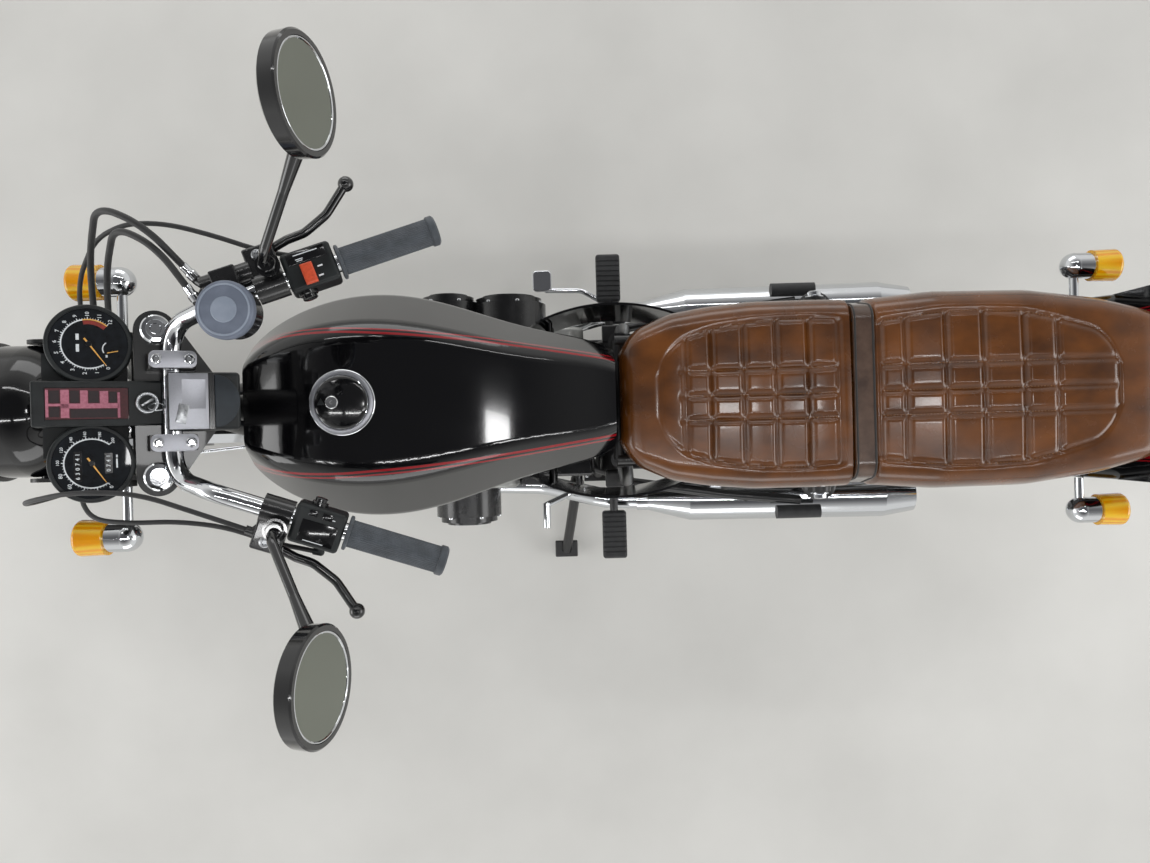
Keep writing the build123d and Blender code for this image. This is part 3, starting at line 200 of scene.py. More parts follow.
def shift(x, y, z):
    return Matrix.Translation((x * mm, y * mm, z * mm))


def turned(angle, axis):
    return Matrix.Rotation(math.radians(angle), 4, axis)


def tube(name, radius, depth, sides=32):  # closed drum about z, its foot at z 0, in mm
    deselectAll()
    bpy.ops.mesh.primitive_cylinder_add(vertices=sides, radius=radius * mm, depth=depth * mm,
                                        location=(0, 0, depth * mm / 2))
    piece = current(name)
    bakePlace(piece)
    return piece


def slab(name, length, width, height):  # box about the origin with its foot at z 0, in mm
    deselectAll()
    bpy.ops.mesh.primitive_cube_add(size=1, location=(0, 0, height * mm / 2))
    piece = current(name)
    piece.scale = (length * mm, width * mm, height * mm)
    bakePlace(piece)
    return piece


def lathe(name, profile, steps=64):  # radius and height pairs in mm, drawn point by point and spun about z
    deselectAll()
    bpy.ops.mesh.primitive_plane_add(size=mm)
    piece = current(name)
    bpy.ops.object.mode_set(mode="EDIT")
    bpy.ops.mesh.select_mode(type="VERT")
    bpy.ops.mesh.select_all(action="SELECT")
    bpy.ops.mesh.merge(type="CENTER")
    bpy.ops.transform.translate(value=(profile[0][0] * mm, 0, profile[0][1] * mm))
    for (r0, z0), (r1, z1) in zip(profile, profile[1:]):
        step = ((r1 - r0) * mm, 0, (z1 - z0) * mm)
        bpy.ops.mesh.extrude_vertices_move(TRANSFORM_OT_translate={"value": step})
    bpy.ops.mesh.select_all(action="SELECT")
    bpy.ops.mesh.spin(steps=steps, angle=math.tau, center=(0, 0, 0), axis=(0, 0, 1))
    leaveEdit()
    mendNormals(piece)
    return piece


# where the fork and the left end of the handlebar stand
forkPlace = axes((701.995, 0, 284.031), (0.891007, 0, 0.45399), (-0.45399, 0, 0.891007))
leftBar = axes((38, 203, 1029), (0.343, 0.939, 0), (0.921, -0.337, 0.194))
flipSide = Matrix.Scale(-1, 4, (0, 1, 0))
bothSides = (-1, 1)  # right and left


def smoothStep(value):
    value = np.clip(value, 0, 1)
    return value * value * (3 - 2 * value)


# materials
def linear(hexColour):  # sRGB hex to the linear values that the shader takes
    parts = [int(hexColour[i:i + 2], 16) / 255 for i in (1, 3, 5)]
    return tuple(c / 12.92 if c <= 0.04045 else ((c + 0.055) / 1.055) ** 2.4 for c in parts) + (1.0,)


def addNode(tree, kind, settings=None, links=None, stops=()):
    # one node with its settings, a ramp's stops and what feeds it; a node feeds with its first output
    node = tree.nodes.new("ShaderNode" + kind)
    for key, value in (settings or {}).items():
        if isinstance(key, str) and hasattr(node, key):
            setattr(node, key, value)
        else:
            node.inputs[key].default_value = value
    for key, source in (links or {}).items():
        tree.links.new(source.outputs[0] if hasattr(source, "outputs") else source, node.inputs[key])
    for index, (position, colour) in enumerate(stops):
        mark = node.color_ramp.elements[index] if index < 2 else node.color_ramp.elements.new(position)
        mark.position, mark.color = position, linear(colour)
    return node


def blotches(size, detail, stretch=None):  # soft random pattern, with the size of a blotch in mm
    return "TexNoise", {"Scale": 1000 / size, "Detail": detail}, 0, stretch


def ribs(direction, scale):  # even ribs across one axis
    return "TexWave", {"bands_direction": direction, "Scale": scale}, "Fac", None


def makeFinish(name, colour, roughness, metallic=0.0, relief=None, tones=None, dulls=None, **more):
    # relief is a pattern, its depth in mm and its strength; tones a pattern, the two levels of it
    # and the colours there; dulls a pattern and the roughness at its two ends
    finish = bpy.data.materials.new(name)
    finish.use_nodes = True
    tree = finish.node_tree
    shader = tree.nodes["Principled BSDF"]
    shader.inputs["Base Color"].default_value = linear(colour)
    shader.inputs["Roughness"].default_value = roughness
    shader.inputs["Metallic"].default_value = metallic
    for key, value in more.items():
        shader.inputs[key.replace("_", " ")].default_value = value
    where = addNode(tree, "TexCoord").outputs["Object"]
    laid = {}

    def lay(pattern):  # a pattern that is used twice is laid once
        if repr(pattern) not in laid:
            kind, settings, output, stretch = pattern
            spot = addNode(tree, "Mapping", {"Scale": stretch}, {"Vector": where}) if stretch else where
            laid[repr(pattern)] = addNode(tree, kind, settings, {"Vector": spot}).outputs[output]
        return laid[repr(pattern)]

    if relief:
        pattern, depth, strength = relief
        raised = addNode(tree, "Bump", {"Strength": strength, "Distance": depth * mm},
                         {"Height": lay(pattern)})
        tree.links.new(raised.outputs[0], shader.inputs["Normal"])
    if tones:
        pattern, low, high, first, last = tones
        shades = addNode(tree, "ValToRGB", None, {"Fac": lay(pattern)}, ((low, first), (high, last)))
        tree.links.new(shades.outputs[0], shader.inputs["Base Color"])
    if dulls:
        pattern, least, most = dulls
        dull = addNode(tree, "MapRange", {"To Min": least, "To Max": most}, {"Value": lay(pattern)})
        tree.links.new(dull.outputs[0], shader.inputs["Roughness"])
    return finish


def workOn(finish):  # a material's nodes, its shader and the place of a point on the object
    tree = finish.node_tree
    return tree, tree.nodes["Principled BSDF"], tree.nodes["Texture Coordinate"].outputs["Object"]


def makeEnamel(name, stripe=None):
    # stoved enamel under lacquer: deep black with a mirror gloss and a faint orange peel
    enamel = makeFinish(name, "#08080a", 0.09, relief=(blotches(4.0, 2), 0.03, 0.35),
                        dulls=(blotches(60, 4), 0.06, 0.13), Coat_Weight=0.25, Coat_Roughness=0.03)
    if stripe:
        tree, shader, where = workOn(enamel)
        parts = addNode(tree, "SeparateXYZ", None, {0: where})
        mixed = addNode(tree, "Mix", {"data_type": "RGBA", 6: linear("#08080a"), 7: linear("#8c0b16")},
                        {0: stripe(tree, parts)})
        tree.links.new(mixed.outputs[2], shader.inputs["Base Color"])
    return enamel


def lineAt(tree, distance, at, half):  # 1 where a distance is within half of a value, in metres
    away = addNode(tree, "Math", {"operation": "SUBTRACT", 1: at}, {0: distance})
    size = addNode(tree, "Math", {"operation": "ABSOLUTE"}, {0: away})
    return addNode(tree, "Math", {"operation": "LESS_THAN", 1: half}, {0: size})


def tankStripe(tree, parts):  # two crimson lines on each flank, following the tank's plan
    forward = addNode(tree, "MapRange", {"From Min": -0.2, "From Max": 0.36}, {"Value": parts.outputs[0]})
    curve = addNode(tree, "FloatCurve", None, {"Value": forward})
    line = curve.mapping.curves[0]
    table = [(-0.19, 55), (-0.108, 67), (-0.03, 78), (0.045, 87), (0.14, 95), (0.225, 98), (0.3, 92),
             (0.35, 80)]  # forward in metres, half width in mm
    for index, (x, half) in enumerate(table):
        spot = ((x + 0.2) / 0.56, half / 200)
        if index < 2:
            line.points[index].location = spot
        else:
            line.points.new(*spot)
    curve.mapping.update()
    side = addNode(tree, "Math", {"operation": "ABSOLUTE"}, {0: parts.outputs[1]})
    plan = addNode(tree, "Math", {"operation": "MULTIPLY", 1: 0.2}, {0: curve})
    away = addNode(tree, "Math", {"operation": "SUBTRACT"}, {0: side, 1: plan})
    both = addNode(tree, "Math", {"operation": "MAXIMUM"},
                   {0: lineAt(tree, away, 0.0, 0.0016), 1: lineAt(tree, away, 0.0055, 0.0011)})
    above = addNode(tree, "Math", {"operation": "GREATER_THAN", 1: 0.80}, {0: parts.outputs[2]})
    return addNode(tree, "Math", {"operation": "MULTIPLY"}, {0: both, 1: above})


def tailStripe(tree, parts):  # double line along the tail's top edge
    side = addNode(tree, "Math", {"operation": "ABSOLUTE"}, {0: parts.outputs[1]})
    return addNode(tree, "Math", {"operation": "MAXIMUM"},
                   {0: lineAt(tree, side, 0.112, 0.0018), 1: lineAt(tree, side, 0.1175, 0.0012)})


def coverStripe(tree, parts):  # one line along the lower edge of each side cover
    return lineAt(tree, parts.outputs[2], 0.508, 0.0016)


def makeHotChrome():
    # chromed header pipe: straw and blue heat tint close to the ports, plain chrome after that
    finish = makeFinish("heatTintedChrome", "#d4d6d9", 0.09, 1.0, dulls=(blotches(26, 5), 0.05, 0.17))
    tree, shader, where = workOn(finish)
    parts = addNode(tree, "SeparateXYZ", None, {0: where})
    height = addNode(tree, "MapRange", {"From Min": 0.5, "From Max": 0.64}, {"Value": parts.outputs[2]})
    uneven = addNode(tree, "TexNoise", {"Scale": 1000 / 30, "Detail": 3}, {"Vector": where})
    slight = addNode(tree, "Math", {"operation": "MULTIPLY", 1: 0.25}, {0: uneven})
    wander = addNode(tree, "Math", {"operation": "ADD"}, {0: height, 1: slight})
    heat = addNode(tree, "Math", {"operation": "SUBTRACT", 1: 0.12}, {0: wander})
    tint = addNode(tree, "ValToRGB", None, {"Fac": heat},
                   ((0.1, "#d4d6d9"), (0.95, "#8286a2"), (0.6, "#c9a976")))
    tree.links.new(tint.outputs[0], shader.inputs["Base Color"])
    return finish


def makeDiscSteel():
    # ground stainless brake disc: rings of grinding marks about the axle
    finish = makeFinish("groundDiscSteel", "#8c8c8e", 0.28, 1.0)
    tree, shader, where = workOn(finish)
    moved = addNode(tree, "Mapping", {"Location": (-0.751, 0, -0.309)}, {"Vector": where})
    flat = addNode(tree, "Mapping", {"Scale": (1, 0, 1)}, {"Vector": moved})
    radius = addNode(tree, "VectorMath", {"operation": "LENGTH"}, {0: flat})
    rings = addNode(tree, "TexNoise", {"noise_dimensions": "1D", "Scale": 900, "Detail": 3},
                    {"W": radius.outputs["Value"]})
    raised = addNode(tree, "Bump", {"Strength": 0.6, "Distance": 0.03 * mm}, {"Height": rings})
    dull = addNode(tree, "MapRange", {"To Min": 0.18, "To Max": 0.4}, {"Value": rings})
    tree.links.new(raised.outputs[0], shader.inputs["Normal"])
    tree.links.new(dull.outputs[0], shader.inputs["Roughness"])
    return finish


def makeSoftRubber(name, colour, deep):
    # moulded rubber: slate-black, matte, with a worn lighter bloom on what stands proud
    return makeFinish(name, colour, 0.58, relief=(blotches(0.9, 2), 0.05, 0.5),
                      tones=(blotches(14, 4), 0.3, 0.75, deep, colour), Sheen_Weight=0.15)


def makeGrainPlastic(name, colour, light):
    # moulded ABS with an eroded leather-like grain: near-black, soft broken highlights
    grain = ("TexVoronoi", {"Scale": 900}, "Distance", None)
    return makeFinish(name, colour, 0.42, relief=(grain, 0.1, 0.35), dulls=(blotches(24, 4), 0.34, 0.5),
                      tones=(blotches(24, 4), 0.35, 0.75, colour, light), Specular_IOR_Level=0.3)


def makeLens(name, colour, deep, direction):
    # clear acrylic lens moulding: deep even colour with pressed ribs behind a smooth face
    return makeFinish(name, colour, 0.1, relief=(ribs(direction, 55), 0.4, 0.5),
                      tones=(ribs(direction, 55), 0.1, 0.9, deep, colour), Transmission_Weight=0.25,
                      Coat_Weight=0.6, IOR=1.49)


def makeInk(name, colour, deep, roughness=0.4):
    # screen-printed ink on dials and switches: flat, slightly uneven colour
    return makeFinish(name, colour, roughness, relief=(blotches(1, 2), 0.02, 0.3),
                      tones=(blotches(3, 3), 0.3, 0.7, deep, colour))


hideGrain = ("TexVoronoi", {"Scale": 420, "feature": "SMOOTH_F1"}, "Distance", None)
material = {
    "tank": makeEnamel("tankEnamel", tankStripe),
    "tail": makeEnamel("tailEnamel", tailStripe),
    "cover": makeEnamel("coverEnamel", coverStripe),
    "enamel": makeEnamel("blackEnamel"),
    # chassis paint on welded steel tube: satin black, a little dust in its grain
    "framePaint": makeFinish("framePaint", "#0d0d0f", 0.34, relief=(blotches(2.2, 3), 0.06, 0.4),
                             tones=(blotches(45, 5), 0.45, 0.8, "#0d0d0f", "#1d1c1a"),
                             dulls=(blotches(45, 5), 0.26, 0.46), Coat_Weight=0.2),
    # bright nickel-chrome plate on polished steel: cold mirror with faint haze and hairline wiping marks
    "chrome": makeFinish("chromePlate", "#d4d6d9", 0.07, 1.0,
                         relief=(blotches(3.5, 4, (1, 9, 9)), 0.008, 0.25),
                         dulls=(blotches(26, 5), 0.035, 0.14)),
    "hotChrome": makeHotChrome(),
    # sand-cast aluminium, blasted: pale grey with a 1 mm grain and oil-darkened patches
    "cast": makeFinish("castAluminium", "#a2a3a1", 0.5, 0.9, relief=(blotches(1.1, 3), 0.12, 0.6),
                       tones=(blotches(24, 3), 0.25, 0.7, "#8e8e8b", "#a9aaa8"),
                       dulls=(blotches(24, 3), 0.56, 0.42)),
    # cast cylinder finning painted heat-proof black with rubbed bright fin edges
    "fins": makeFinish("blackenedFinning", "#1c1c1c", 0.55, relief=(blotches(1.4, 3), 0.12, 0.6),
                       tones=(blotches(22, 5), 0.35, 0.75, "#141414", "#3a3936")),
    # buffed aluminium cover: bright, with fine buffing lines that soften its mirror
    "buffed": makeFinish("buffedAluminium", "#c3c4c6", 0.18, 1.0,
                         relief=(blotches(1.6, 4, (1, 1, 14)), 0.01, 0.4),
                         tones=(blotches(34, 5), 0.3, 0.7, "#a8a9ab", "#cbcccd"),
                         dulls=(blotches(34, 5), 0.12, 0.3)),
    # engine cover in baked semi-gloss black over cast aluminium, faintly pebbled
    "coverBlack": makeFinish("bakedCoverBlack", "#0f0f11", 0.24, relief=(blotches(1.8, 3), 0.05, 0.35),
                             tones=(blotches(32, 5), 0.4, 0.8, "#0e0e10", "#1b1b1c"),
                             dulls=(blotches(32, 5), 0.16, 0.36), Coat_Weight=0.3),
    # linished aluminium block: brush lines across it and a soft grey sheen
    "linished": makeFinish("linishedAluminium", "#a0a1a7", 0.4, 1.0,
                           relief=(blotches(1.2, 4, (14, 1, 14)), 0.02, 0.5),
                           tones=(blotches(1.2, 4, (14, 1, 14)), 0.3, 0.7, "#8e8f95", "#b4b5bb")),
    # die-cast wheel in silver lacquer: fine metallic fleck under a clear coat, brake dust near the hub
    "wheel": makeFinish("silverLacquer", "#8d8e8f", 0.34, 0.75, relief=(blotches(0.9, 2), 0.02, 0.4),
                        tones=(blotches(55, 5), 0.35, 0.7, "#757473", "#97989a"), Coat_Weight=0.4),
    "disc": makeDiscSteel(),
    # bright zinc plate on fasteners: pale steel with a slightly mottled, bluish bloom
    "zinc": makeFinish("zincPlate", "#aeb0b2", 0.3, 1.0, dulls=(blotches(5, 4), 0.2, 0.42),
                       tones=(blotches(5, 4), 0.35, 0.7, "#8e9093", "#bcbec0")),
    # oiled roller chain: dark straw-grey steel, glossy where the oil lies
    "chain": makeFinish("oiledChainSteel", "#5c574e", 0.32, 0.9, dulls=(blotches(8, 4), 0.18, 0.5),
                        tones=(blotches(8, 4), 0.35, 0.65, "#3b3731", "#7c766a")),
    # cast-iron caliper in brake black: rough casting skin with chipped grey edges
    "caliper": makeFinish("caliperBlack", "#1a1a1b", 0.45, relief=(blotches(1.6, 3), 0.15, 0.6),
                          tones=(blotches(9, 6), 0.62, 0.72, "#1a1a1b", "#4a4845")),
    # vulcanised tyre: carbon black with a dry brown-grey bloom on the tread and fine moulding grain
    "tyre": makeFinish("tyreRubber", "#161616", 0.72, relief=(blotches(1.3, 3), 0.08, 0.5),
                       tones=(blotches(30, 6), 0.4, 0.75, "#131313", "#2b2926"),
                       dulls=(blotches(30, 6), 0.6, 0.85)),
    "grip": makeSoftRubber("gripRubber", "#474d54", "#33383e"),
    "hose": makeSoftRubber("hoseRubber", "#1f1f20", "#131314"),
    "piping": makeSoftRubber("pipingVinyl", "#17120f", "#0e0b09"),
    "pegRubber": makeSoftRubber("pegRubber", "#2c2d2f", "#1b1c1d"),
    "plastic": makeGrainPlastic("grainBlackPlastic", "#17191a", "#242829"),
    "capPlastic": makeGrainPlastic("slateCapPlastic", "#636a78", "#747c8b"),
    "padPlastic": makeGrainPlastic("greyPadPlastic", "#23282d", "#30363c"),
    "capDisc": makeGrainPlastic("paleCapPlastic", "#7f8896", "#8f97a5"),
    # polished black moulding on mirror shells and levers: glossy with light swirl marks
    "gloss": makeFinish("glossBlackMoulding", "#0b0b0d", 0.12, relief=(blotches(6, 2), 0.02, 0.3),
                        dulls=(blotches(18, 5), 0.07, 0.2), Coat_Weight=0.5),
    "amber": makeLens("amberAcrylic", "#ffcf28", "#f7a603", "Z"),
    "red": makeLens("redAcrylic", "#b30f12", "#7c0508", "Y"),
    # heat-moulded seat vinyl: chestnut brown, semi-gloss, faint hide grain and darker rubbed patches
    "vinyl": makeFinish("chestnutVinyl", "#5a3312", 0.2, relief=(hideGrain, 0.12, 0.16),
                        tones=(blotches(70, 6, (1, 1.6, 1)), 0.3, 0.72, "#43240b", "#6d3e14"),
                        dulls=(blotches(40, 5), 0.17, 0.34), Coat_Weight=0.35, Coat_Roughness=0.1),
    # seat strap of folded dark brown vinyl: glossy, with a fine weave-like emboss along it
    "strap": makeFinish("strapVinyl", "#3a2f2b", 0.24, relief=(ribs("Y", 160), 0.08, 0.4),
                        tones=(blotches(25, 5), 0.3, 0.7, "#3a2a22", "#5a463a"), Coat_Weight=0.35),
    # pressed headlamp glass in front of its reflector: bright, milky, with upright flutes
    "headGlass": makeFinish("flutedGlass", "#c6ccd0", 0.08, 0.55, relief=(ribs("Y", 42), 0.9, 0.6),
                            tones=(ribs("Y", 42), 0.1, 0.9, "#8f979d", "#dfe4e6"), Coat_Weight=1.0),
    # mirror glass with a painted reflection: an olive-grey tint stands in for the dim surroundings that it
    # shows, with a breath of dust
    "mirror": makeFinish("mirrorGlassPaintedDimReflection", "#858980", 0.02, 1.0, dulls=(blotches(30, 5), 0.005, 0.06)),
    # printed dial under its glass: soot black with the glass's own sharp gloss
    "dial": makeFinish("dialUnderGlass", "#101216", 0.7,
                       tones=(blotches(9, 4), 0.3, 0.75, "#0c0e11", "#181c21"),
                       Specular_IOR_Level=0.1, Coat_Weight=0.8, Coat_Roughness=0.02),
    "white": makeInk("dialWhiteInk", "#dfe3e6", "#c9ced2"),
    "needle": makeInk("needleAmber", "#e8b25a", "#d49a3c"),
    "redInk": makeInk("dialRedInk", "#8f2418", "#701a12"),
    "pink": makeInk("panelPinkInk", "#b26e80", "#9a5567", 0.5),
    "maroon": makeInk("panelMaroonInk", "#4a0f18", "#360a11", 0.5),
    "panelDark": makeInk("panelDarkWindow", "#220b12", "#15070c", 0.55),
    "orange": makeInk("stopOrange", "#d2512e", "#b84323"),
    # waxed seam thread: flat tan, slightly uneven, paler than the vinyl round it
    "thread": makeInk("chestnutThread", "#9a6a3c", "#7d5128", 0.6),
}
print("materials:", len(material))

# finish of each CAD node that stays in view
nodeFinish = {
    "bar_cover": "plastic", "brake_calipers": "caliper", "brake_discs": "disc", "cables": "hose",
    "centre_stand": "framePaint", "chain_guard": "chrome", "cylinders": "fins", "engine_cases": "cast",
    "engine_covers": "coverBlack", "exhausts": "hotChrome", "foot_controls": "chrome",
    "foot_pegs": "pegRubber", "fork_sliders": "cast", "fork_tubes": "chrome", "frame": "framePaint",
    "front_indicator_lenses": "amber", "front_indicators": "chrome", "front_mudguard": "chrome",
    "front_wheel": "wheel", "fuel_cap": "chrome",
    "fuel_tank": "tank", "hand_levers": "gloss", "handlebar": "chrome", "headlamp": "enamel",
    "headlamp_lens": "headGlass", "instrument_faces": "dial", "instruments": "plastic", "intake": "plastic",
    "lever_perches": "coverBlack", "mirror_glass": "mirror", "mirrors": "gloss", "rear_brake_plate": "cast",
    "rear_indicator_lenses": "amber", "rear_indicators": "chrome", "rear_mudguard": "chrome",
    "rear_wheel": "wheel", "reservoir_cap": "capPlastic", "seat_strap": "strap", "side_covers": "cover",
    "side_stand": "framePaint", "swingarm": "framePaint", "switch_blocks": "plastic", "tail_cowl": "tail",
    "tail_lamp": "red", "yokes": "framePaint", "grips": "grip", "chain": "chain", "rear_shocks": "chrome",
    "front_tyre": "tyre", "rear_tyre": "tyre", "seat_cushion": "vinyl",
}
for name, piece in nodes.items():
    for spot in piece.material_slots:
        spot.material = material[nodeFinish[name]]
    if not piece.material_slots:
        piece.data.materials.append(material[nodeFinish[name]])


# seat
seatShape = {
    # distance forward, half width, top, all in mm
    "slices": [(-199, 70, 774), (-206, 84, 781), (-225, 106, 788), (-275, 128, 794), (-335, 138, 795),
               (-400, 144, 795), (-500, 144, 803), (-567, 141, 815), (-665, 149, 832), (-800, 147, 838),
               (-900, 133, 838), (-960, 118, 835), (-988, 108, 830), (-996, 100, 824)],
    "bottom": 700.5,
    "rings": 312,
    "round": 132,  # points from one lower edge over the top to the other
    "crown": 5.0,
    "strapX": (-575.0, -537.0),
    "strapDepth": 6.6,
    "stitchLines": (-37.0, 1.0, 37.0),
    # crosswise channels and their depth, the outline of the blocks, and where the lengthwise channels begin
    "riderCuts": [(-256.5, 1.0), (-296, 3.0), (-334.5, 6.0), (-383, 5.4), (-430.5, 5.4), (-478, 6.0),
                  (-522, 3.0)],
    "riderEdge": [(-252, 20), (-258, 46), (-265, 60), (-291, 84), (-334.5, 98.5), (-383, 106), (-432, 110),
                  (-480, 110), (-524, 107), (-540, 105)],
    "riderLines": -284,
    "pillionCuts": [(-579, 5.0), (-614, 5.0), (-670, 6.0), (-723, 6.0), (-781, 6.0), (-828, 4.5),
                    (-916, 3.0)],
    "pillionEdge": [(-570, 100), (-580, 101), (-670, 111.6), (-725, 111.6), (-783, 107.6), (-826, 97),
                    (-886, 79), (-912, 48), (-917, 20)],
    "pillionLines": -576,
    "grooveHalf": 7.5,
    "pressure": 3.0,  # of the foam under the cover
    "swellCap": 3.0,  # most that the foam may swell the cover
    "settleFrames": 10,
    "stiffness": 40,
    "heldBelow": 722,  # the cover is held to the base below this height
    "endRound": 16,  # length over which the ends roll over
}


def along(table, x, column):  # smooth value of a table at x, its first column falling
    xs = np.array([row[0] for row in table], float)[::-1]
    values = np.array([row[column] for row in table], float)[::-1]
    fine = np.interp(np.clip(x[..., None] + np.linspace(-9, 9, 7), xs[0], xs[-1]), xs, values)
    return fine.mean(-1)


def seatOutline(count):  # right lower edge to left lower edge, as shares of half width and of height
    right = [(-0.93, 0.0), (-0.965, 0.12), (-1.0, 0.4), (-0.995, 0.62), (-0.955, 0.86), (-0.86, 1.0),
             (-0.66, 1.0), (-0.3, 1.0)]
    corner = np.array(right + [(-across, up) for across, up in reversed(right)])
    for _ in range(3):  # corners cut three times give a smooth line
        cut = np.empty((2 * len(corner), 2))
        cut[0], cut[-1] = corner[0], corner[-1]
        cut[1:-1:2] = 0.75 * corner[:-1] + 0.25 * corner[1:]
        cut[2:-1:2] = 0.25 * corner[:-1] + 0.75 * corner[1:]
        corner = cut
    run = np.concatenate([[0], np.cumsum(np.hypot(*(np.diff(corner, axis=0) * (1.0, 0.75)).T))])
    even = np.linspace(0, run[-1], count)
    return np.interp(even, run, corner[:, 0]), np.interp(even, run, corner[:, 1])


def quiltDepth(x, y):  # how deep the moulded channels are at a point of the seat's top, in mm
    half = seatShape["grooveHalf"]
    depth = np.zeros_like(x)
    for part in ("rider", "pillion"):
        cuts, edge, linesFrom = (seatShape[part + key] for key in ("Cuts", "Edge", "Lines"))
        first, last = cuts[0][0], cuts[-1][0]
        reach = along(edge, x, 1)
        within = smoothStep((reach + 1.5 - np.abs(y)) / 3)
        within = np.where((x < edge[0][0]) & (x > edge[-1][0]), within, 0)
        strength = np.interp(-x, [-c[0] for c in cuts], [c[1] for c in cuts])
        block = smoothStep((first - x) / 3) * smoothStep((x - last) / 3)
        lines = block * smoothStep((linesFrom - x) / 8)
        for at, deep in cuts:
            near = 1 - smoothStep(np.abs(x - at) / half)
            depth = np.maximum(depth, deep * near * within)
        for line in seatShape["stitchLines"]:
            near = 1 - smoothStep(np.abs(y - line) / half)
            depth = np.maximum(depth, strength * near * within * lines)
        rim = 1 - smoothStep(np.abs(np.abs(y) - reach) / (0.75 * half))
        depth = np.maximum(depth, 0.7 * strength * rim * block)
    return depth


def makeSeat():
    rings, count = seatShape["rings"], seatShape["round"]
    low, high = seatShape["slices"][-1][0], seatShape["slices"][0][0]
    deselectAll()
    bpy.ops.mesh.primitive_grid_add(x_subdivisions=rings - 1, y_subdivisions=count - 1, size=1)
    seat = current("seatCushion")
    share = np.array([v.co for v in seat.data.vertices])
    i = np.round((share[:, 0] + 0.5) * (rings - 1)).astype(int)
    j = np.round((share[:, 1] + 0.5) * (count - 1)).astype(int)
    x = low + (high - low) * i / (rings - 1)
    across, up = seatOutline(count)
    half = along(seatShape["slices"], x, 1)
    top = along(seatShape["slices"], x, 2)
    fromEnd = np.minimum(high - x, x - low)
    ease = np.sqrt(np.clip(1 - (1 - np.clip(fromEnd / seatShape["endRound"], 0, 1)) ** 2, 0, 1))
    bottom = seatShape["bottom"]
    y = across[j] * half * (0.9 + 0.1 * ease)
    z = bottom + up[j] * (top - bottom) * (0.84 + 0.16 * ease)
    z += seatShape["crown"] * (1 - (y / half) ** 2) * (up[j] > 0.9) * ease
    seat.data.vertices.foreach_set("co", (np.stack([x, y, z], 1) * mm).ravel())
    seat.data.update()
    activate(seat)  # ends and underside are closed from the open rim
    bpy.ops.object.mode_set(mode="EDIT")
    bpy.ops.mesh.select_all(action="DESELECT")
    bpy.ops.mesh.select_mode(type="EDGE")
    bpy.ops.mesh.select_non_manifold()
    bpy.ops.mesh.extrude_region_move()
    bpy.ops.transform.resize(value=(0.93, 0.82, 1), center_override=(-0.6, 0, 0.7))
    bpy.ops.mesh.edge_face_add()
    leaveEdit()
    mendNormals(seat)
    group = seat.vertex_groups.new(name="base")
    fixed = [v.index for v in seat.data.vertices if v.co.z < seatShape["heldBelow"] * mm]
    group.add(fixed, 1.0, "REPLACE")
    rest = np.array([v.co for v in seat.data.vertices])
    cloth = seat.modifiers.new("foam", "CLOTH")
    cloth.settings.use_pressure = True
    cloth.settings.uniform_pressure_force = seatShape["pressure"]
    cloth.settings.effector_weights.gravity = 0
    cloth.settings.vertex_group_mass = "base"
    cloth.settings.quality = 3
    cloth.settings.tension_stiffness = seatShape["stiffness"]
    cloth.settings.compression_stiffness = seatShape["stiffness"]
    for step in range(1, seatShape["settleFrames"] + 1):
        bpy.context.scene.frame_set(step)
    applyAll(seat)
    bpy.context.scene.frame_set(1)
    swollen = np.array([v.co for v in seat.data.vertices])
    move = swollen - rest
    size = np.linalg.norm(move, axis=1)
    cap = seatShape["swellCap"] * mm
    move *= (np.minimum(size, cap) / np.maximum(size, 1e-9))[:, None]
    spot = (rest + move) / mm
    x, y, z = spot.T
    # the channels are pressed in, and fade out where the sides begin
    z = z - quiltDepth(x, y) * smoothStep((z - (along(seatShape["slices"], x, 2) - 26)) / 14)
    # the strap's bed runs over the top and down both flanks
    rear, front = seatShape["strapX"]
    trench = smoothStep((x - rear) / 4) * smoothStep((front - x) / 4) * seatShape["strapDepth"]
    drop = trench * smoothStep((z - 712) / 12)
    side = np.abs(y) / np.maximum(along(seatShape["slices"], x, 1), 1)
    flank = smoothStep((side - 0.86) / 0.1)
    z = z - drop * (1 - flank)
    y = y - np.sign(y) * drop * flank
    seat.data.vertices.foreach_set("co", (np.stack([x, y, z], 1) * mm).ravel())
    seat.data.update()
    fit(seat, "vinyl", "chassis", 60, ["seat_cushion"])
    return seat


seat = makeSeat()
print("seat cushion:", len(seat.data.polygons), "faces")

stitchRow = {
    "length": 3.0, "width": 1.1, "height": 0.8, "pitch": 4.6,
    # where the rows along the channels and along the outline of the blocks begin and end, in mm
    "channels": ((-300, -520), (-583, -824)),
    "outlines": (("riderEdge", -336, -480), ("pillionEdge", -583, -828)),
}


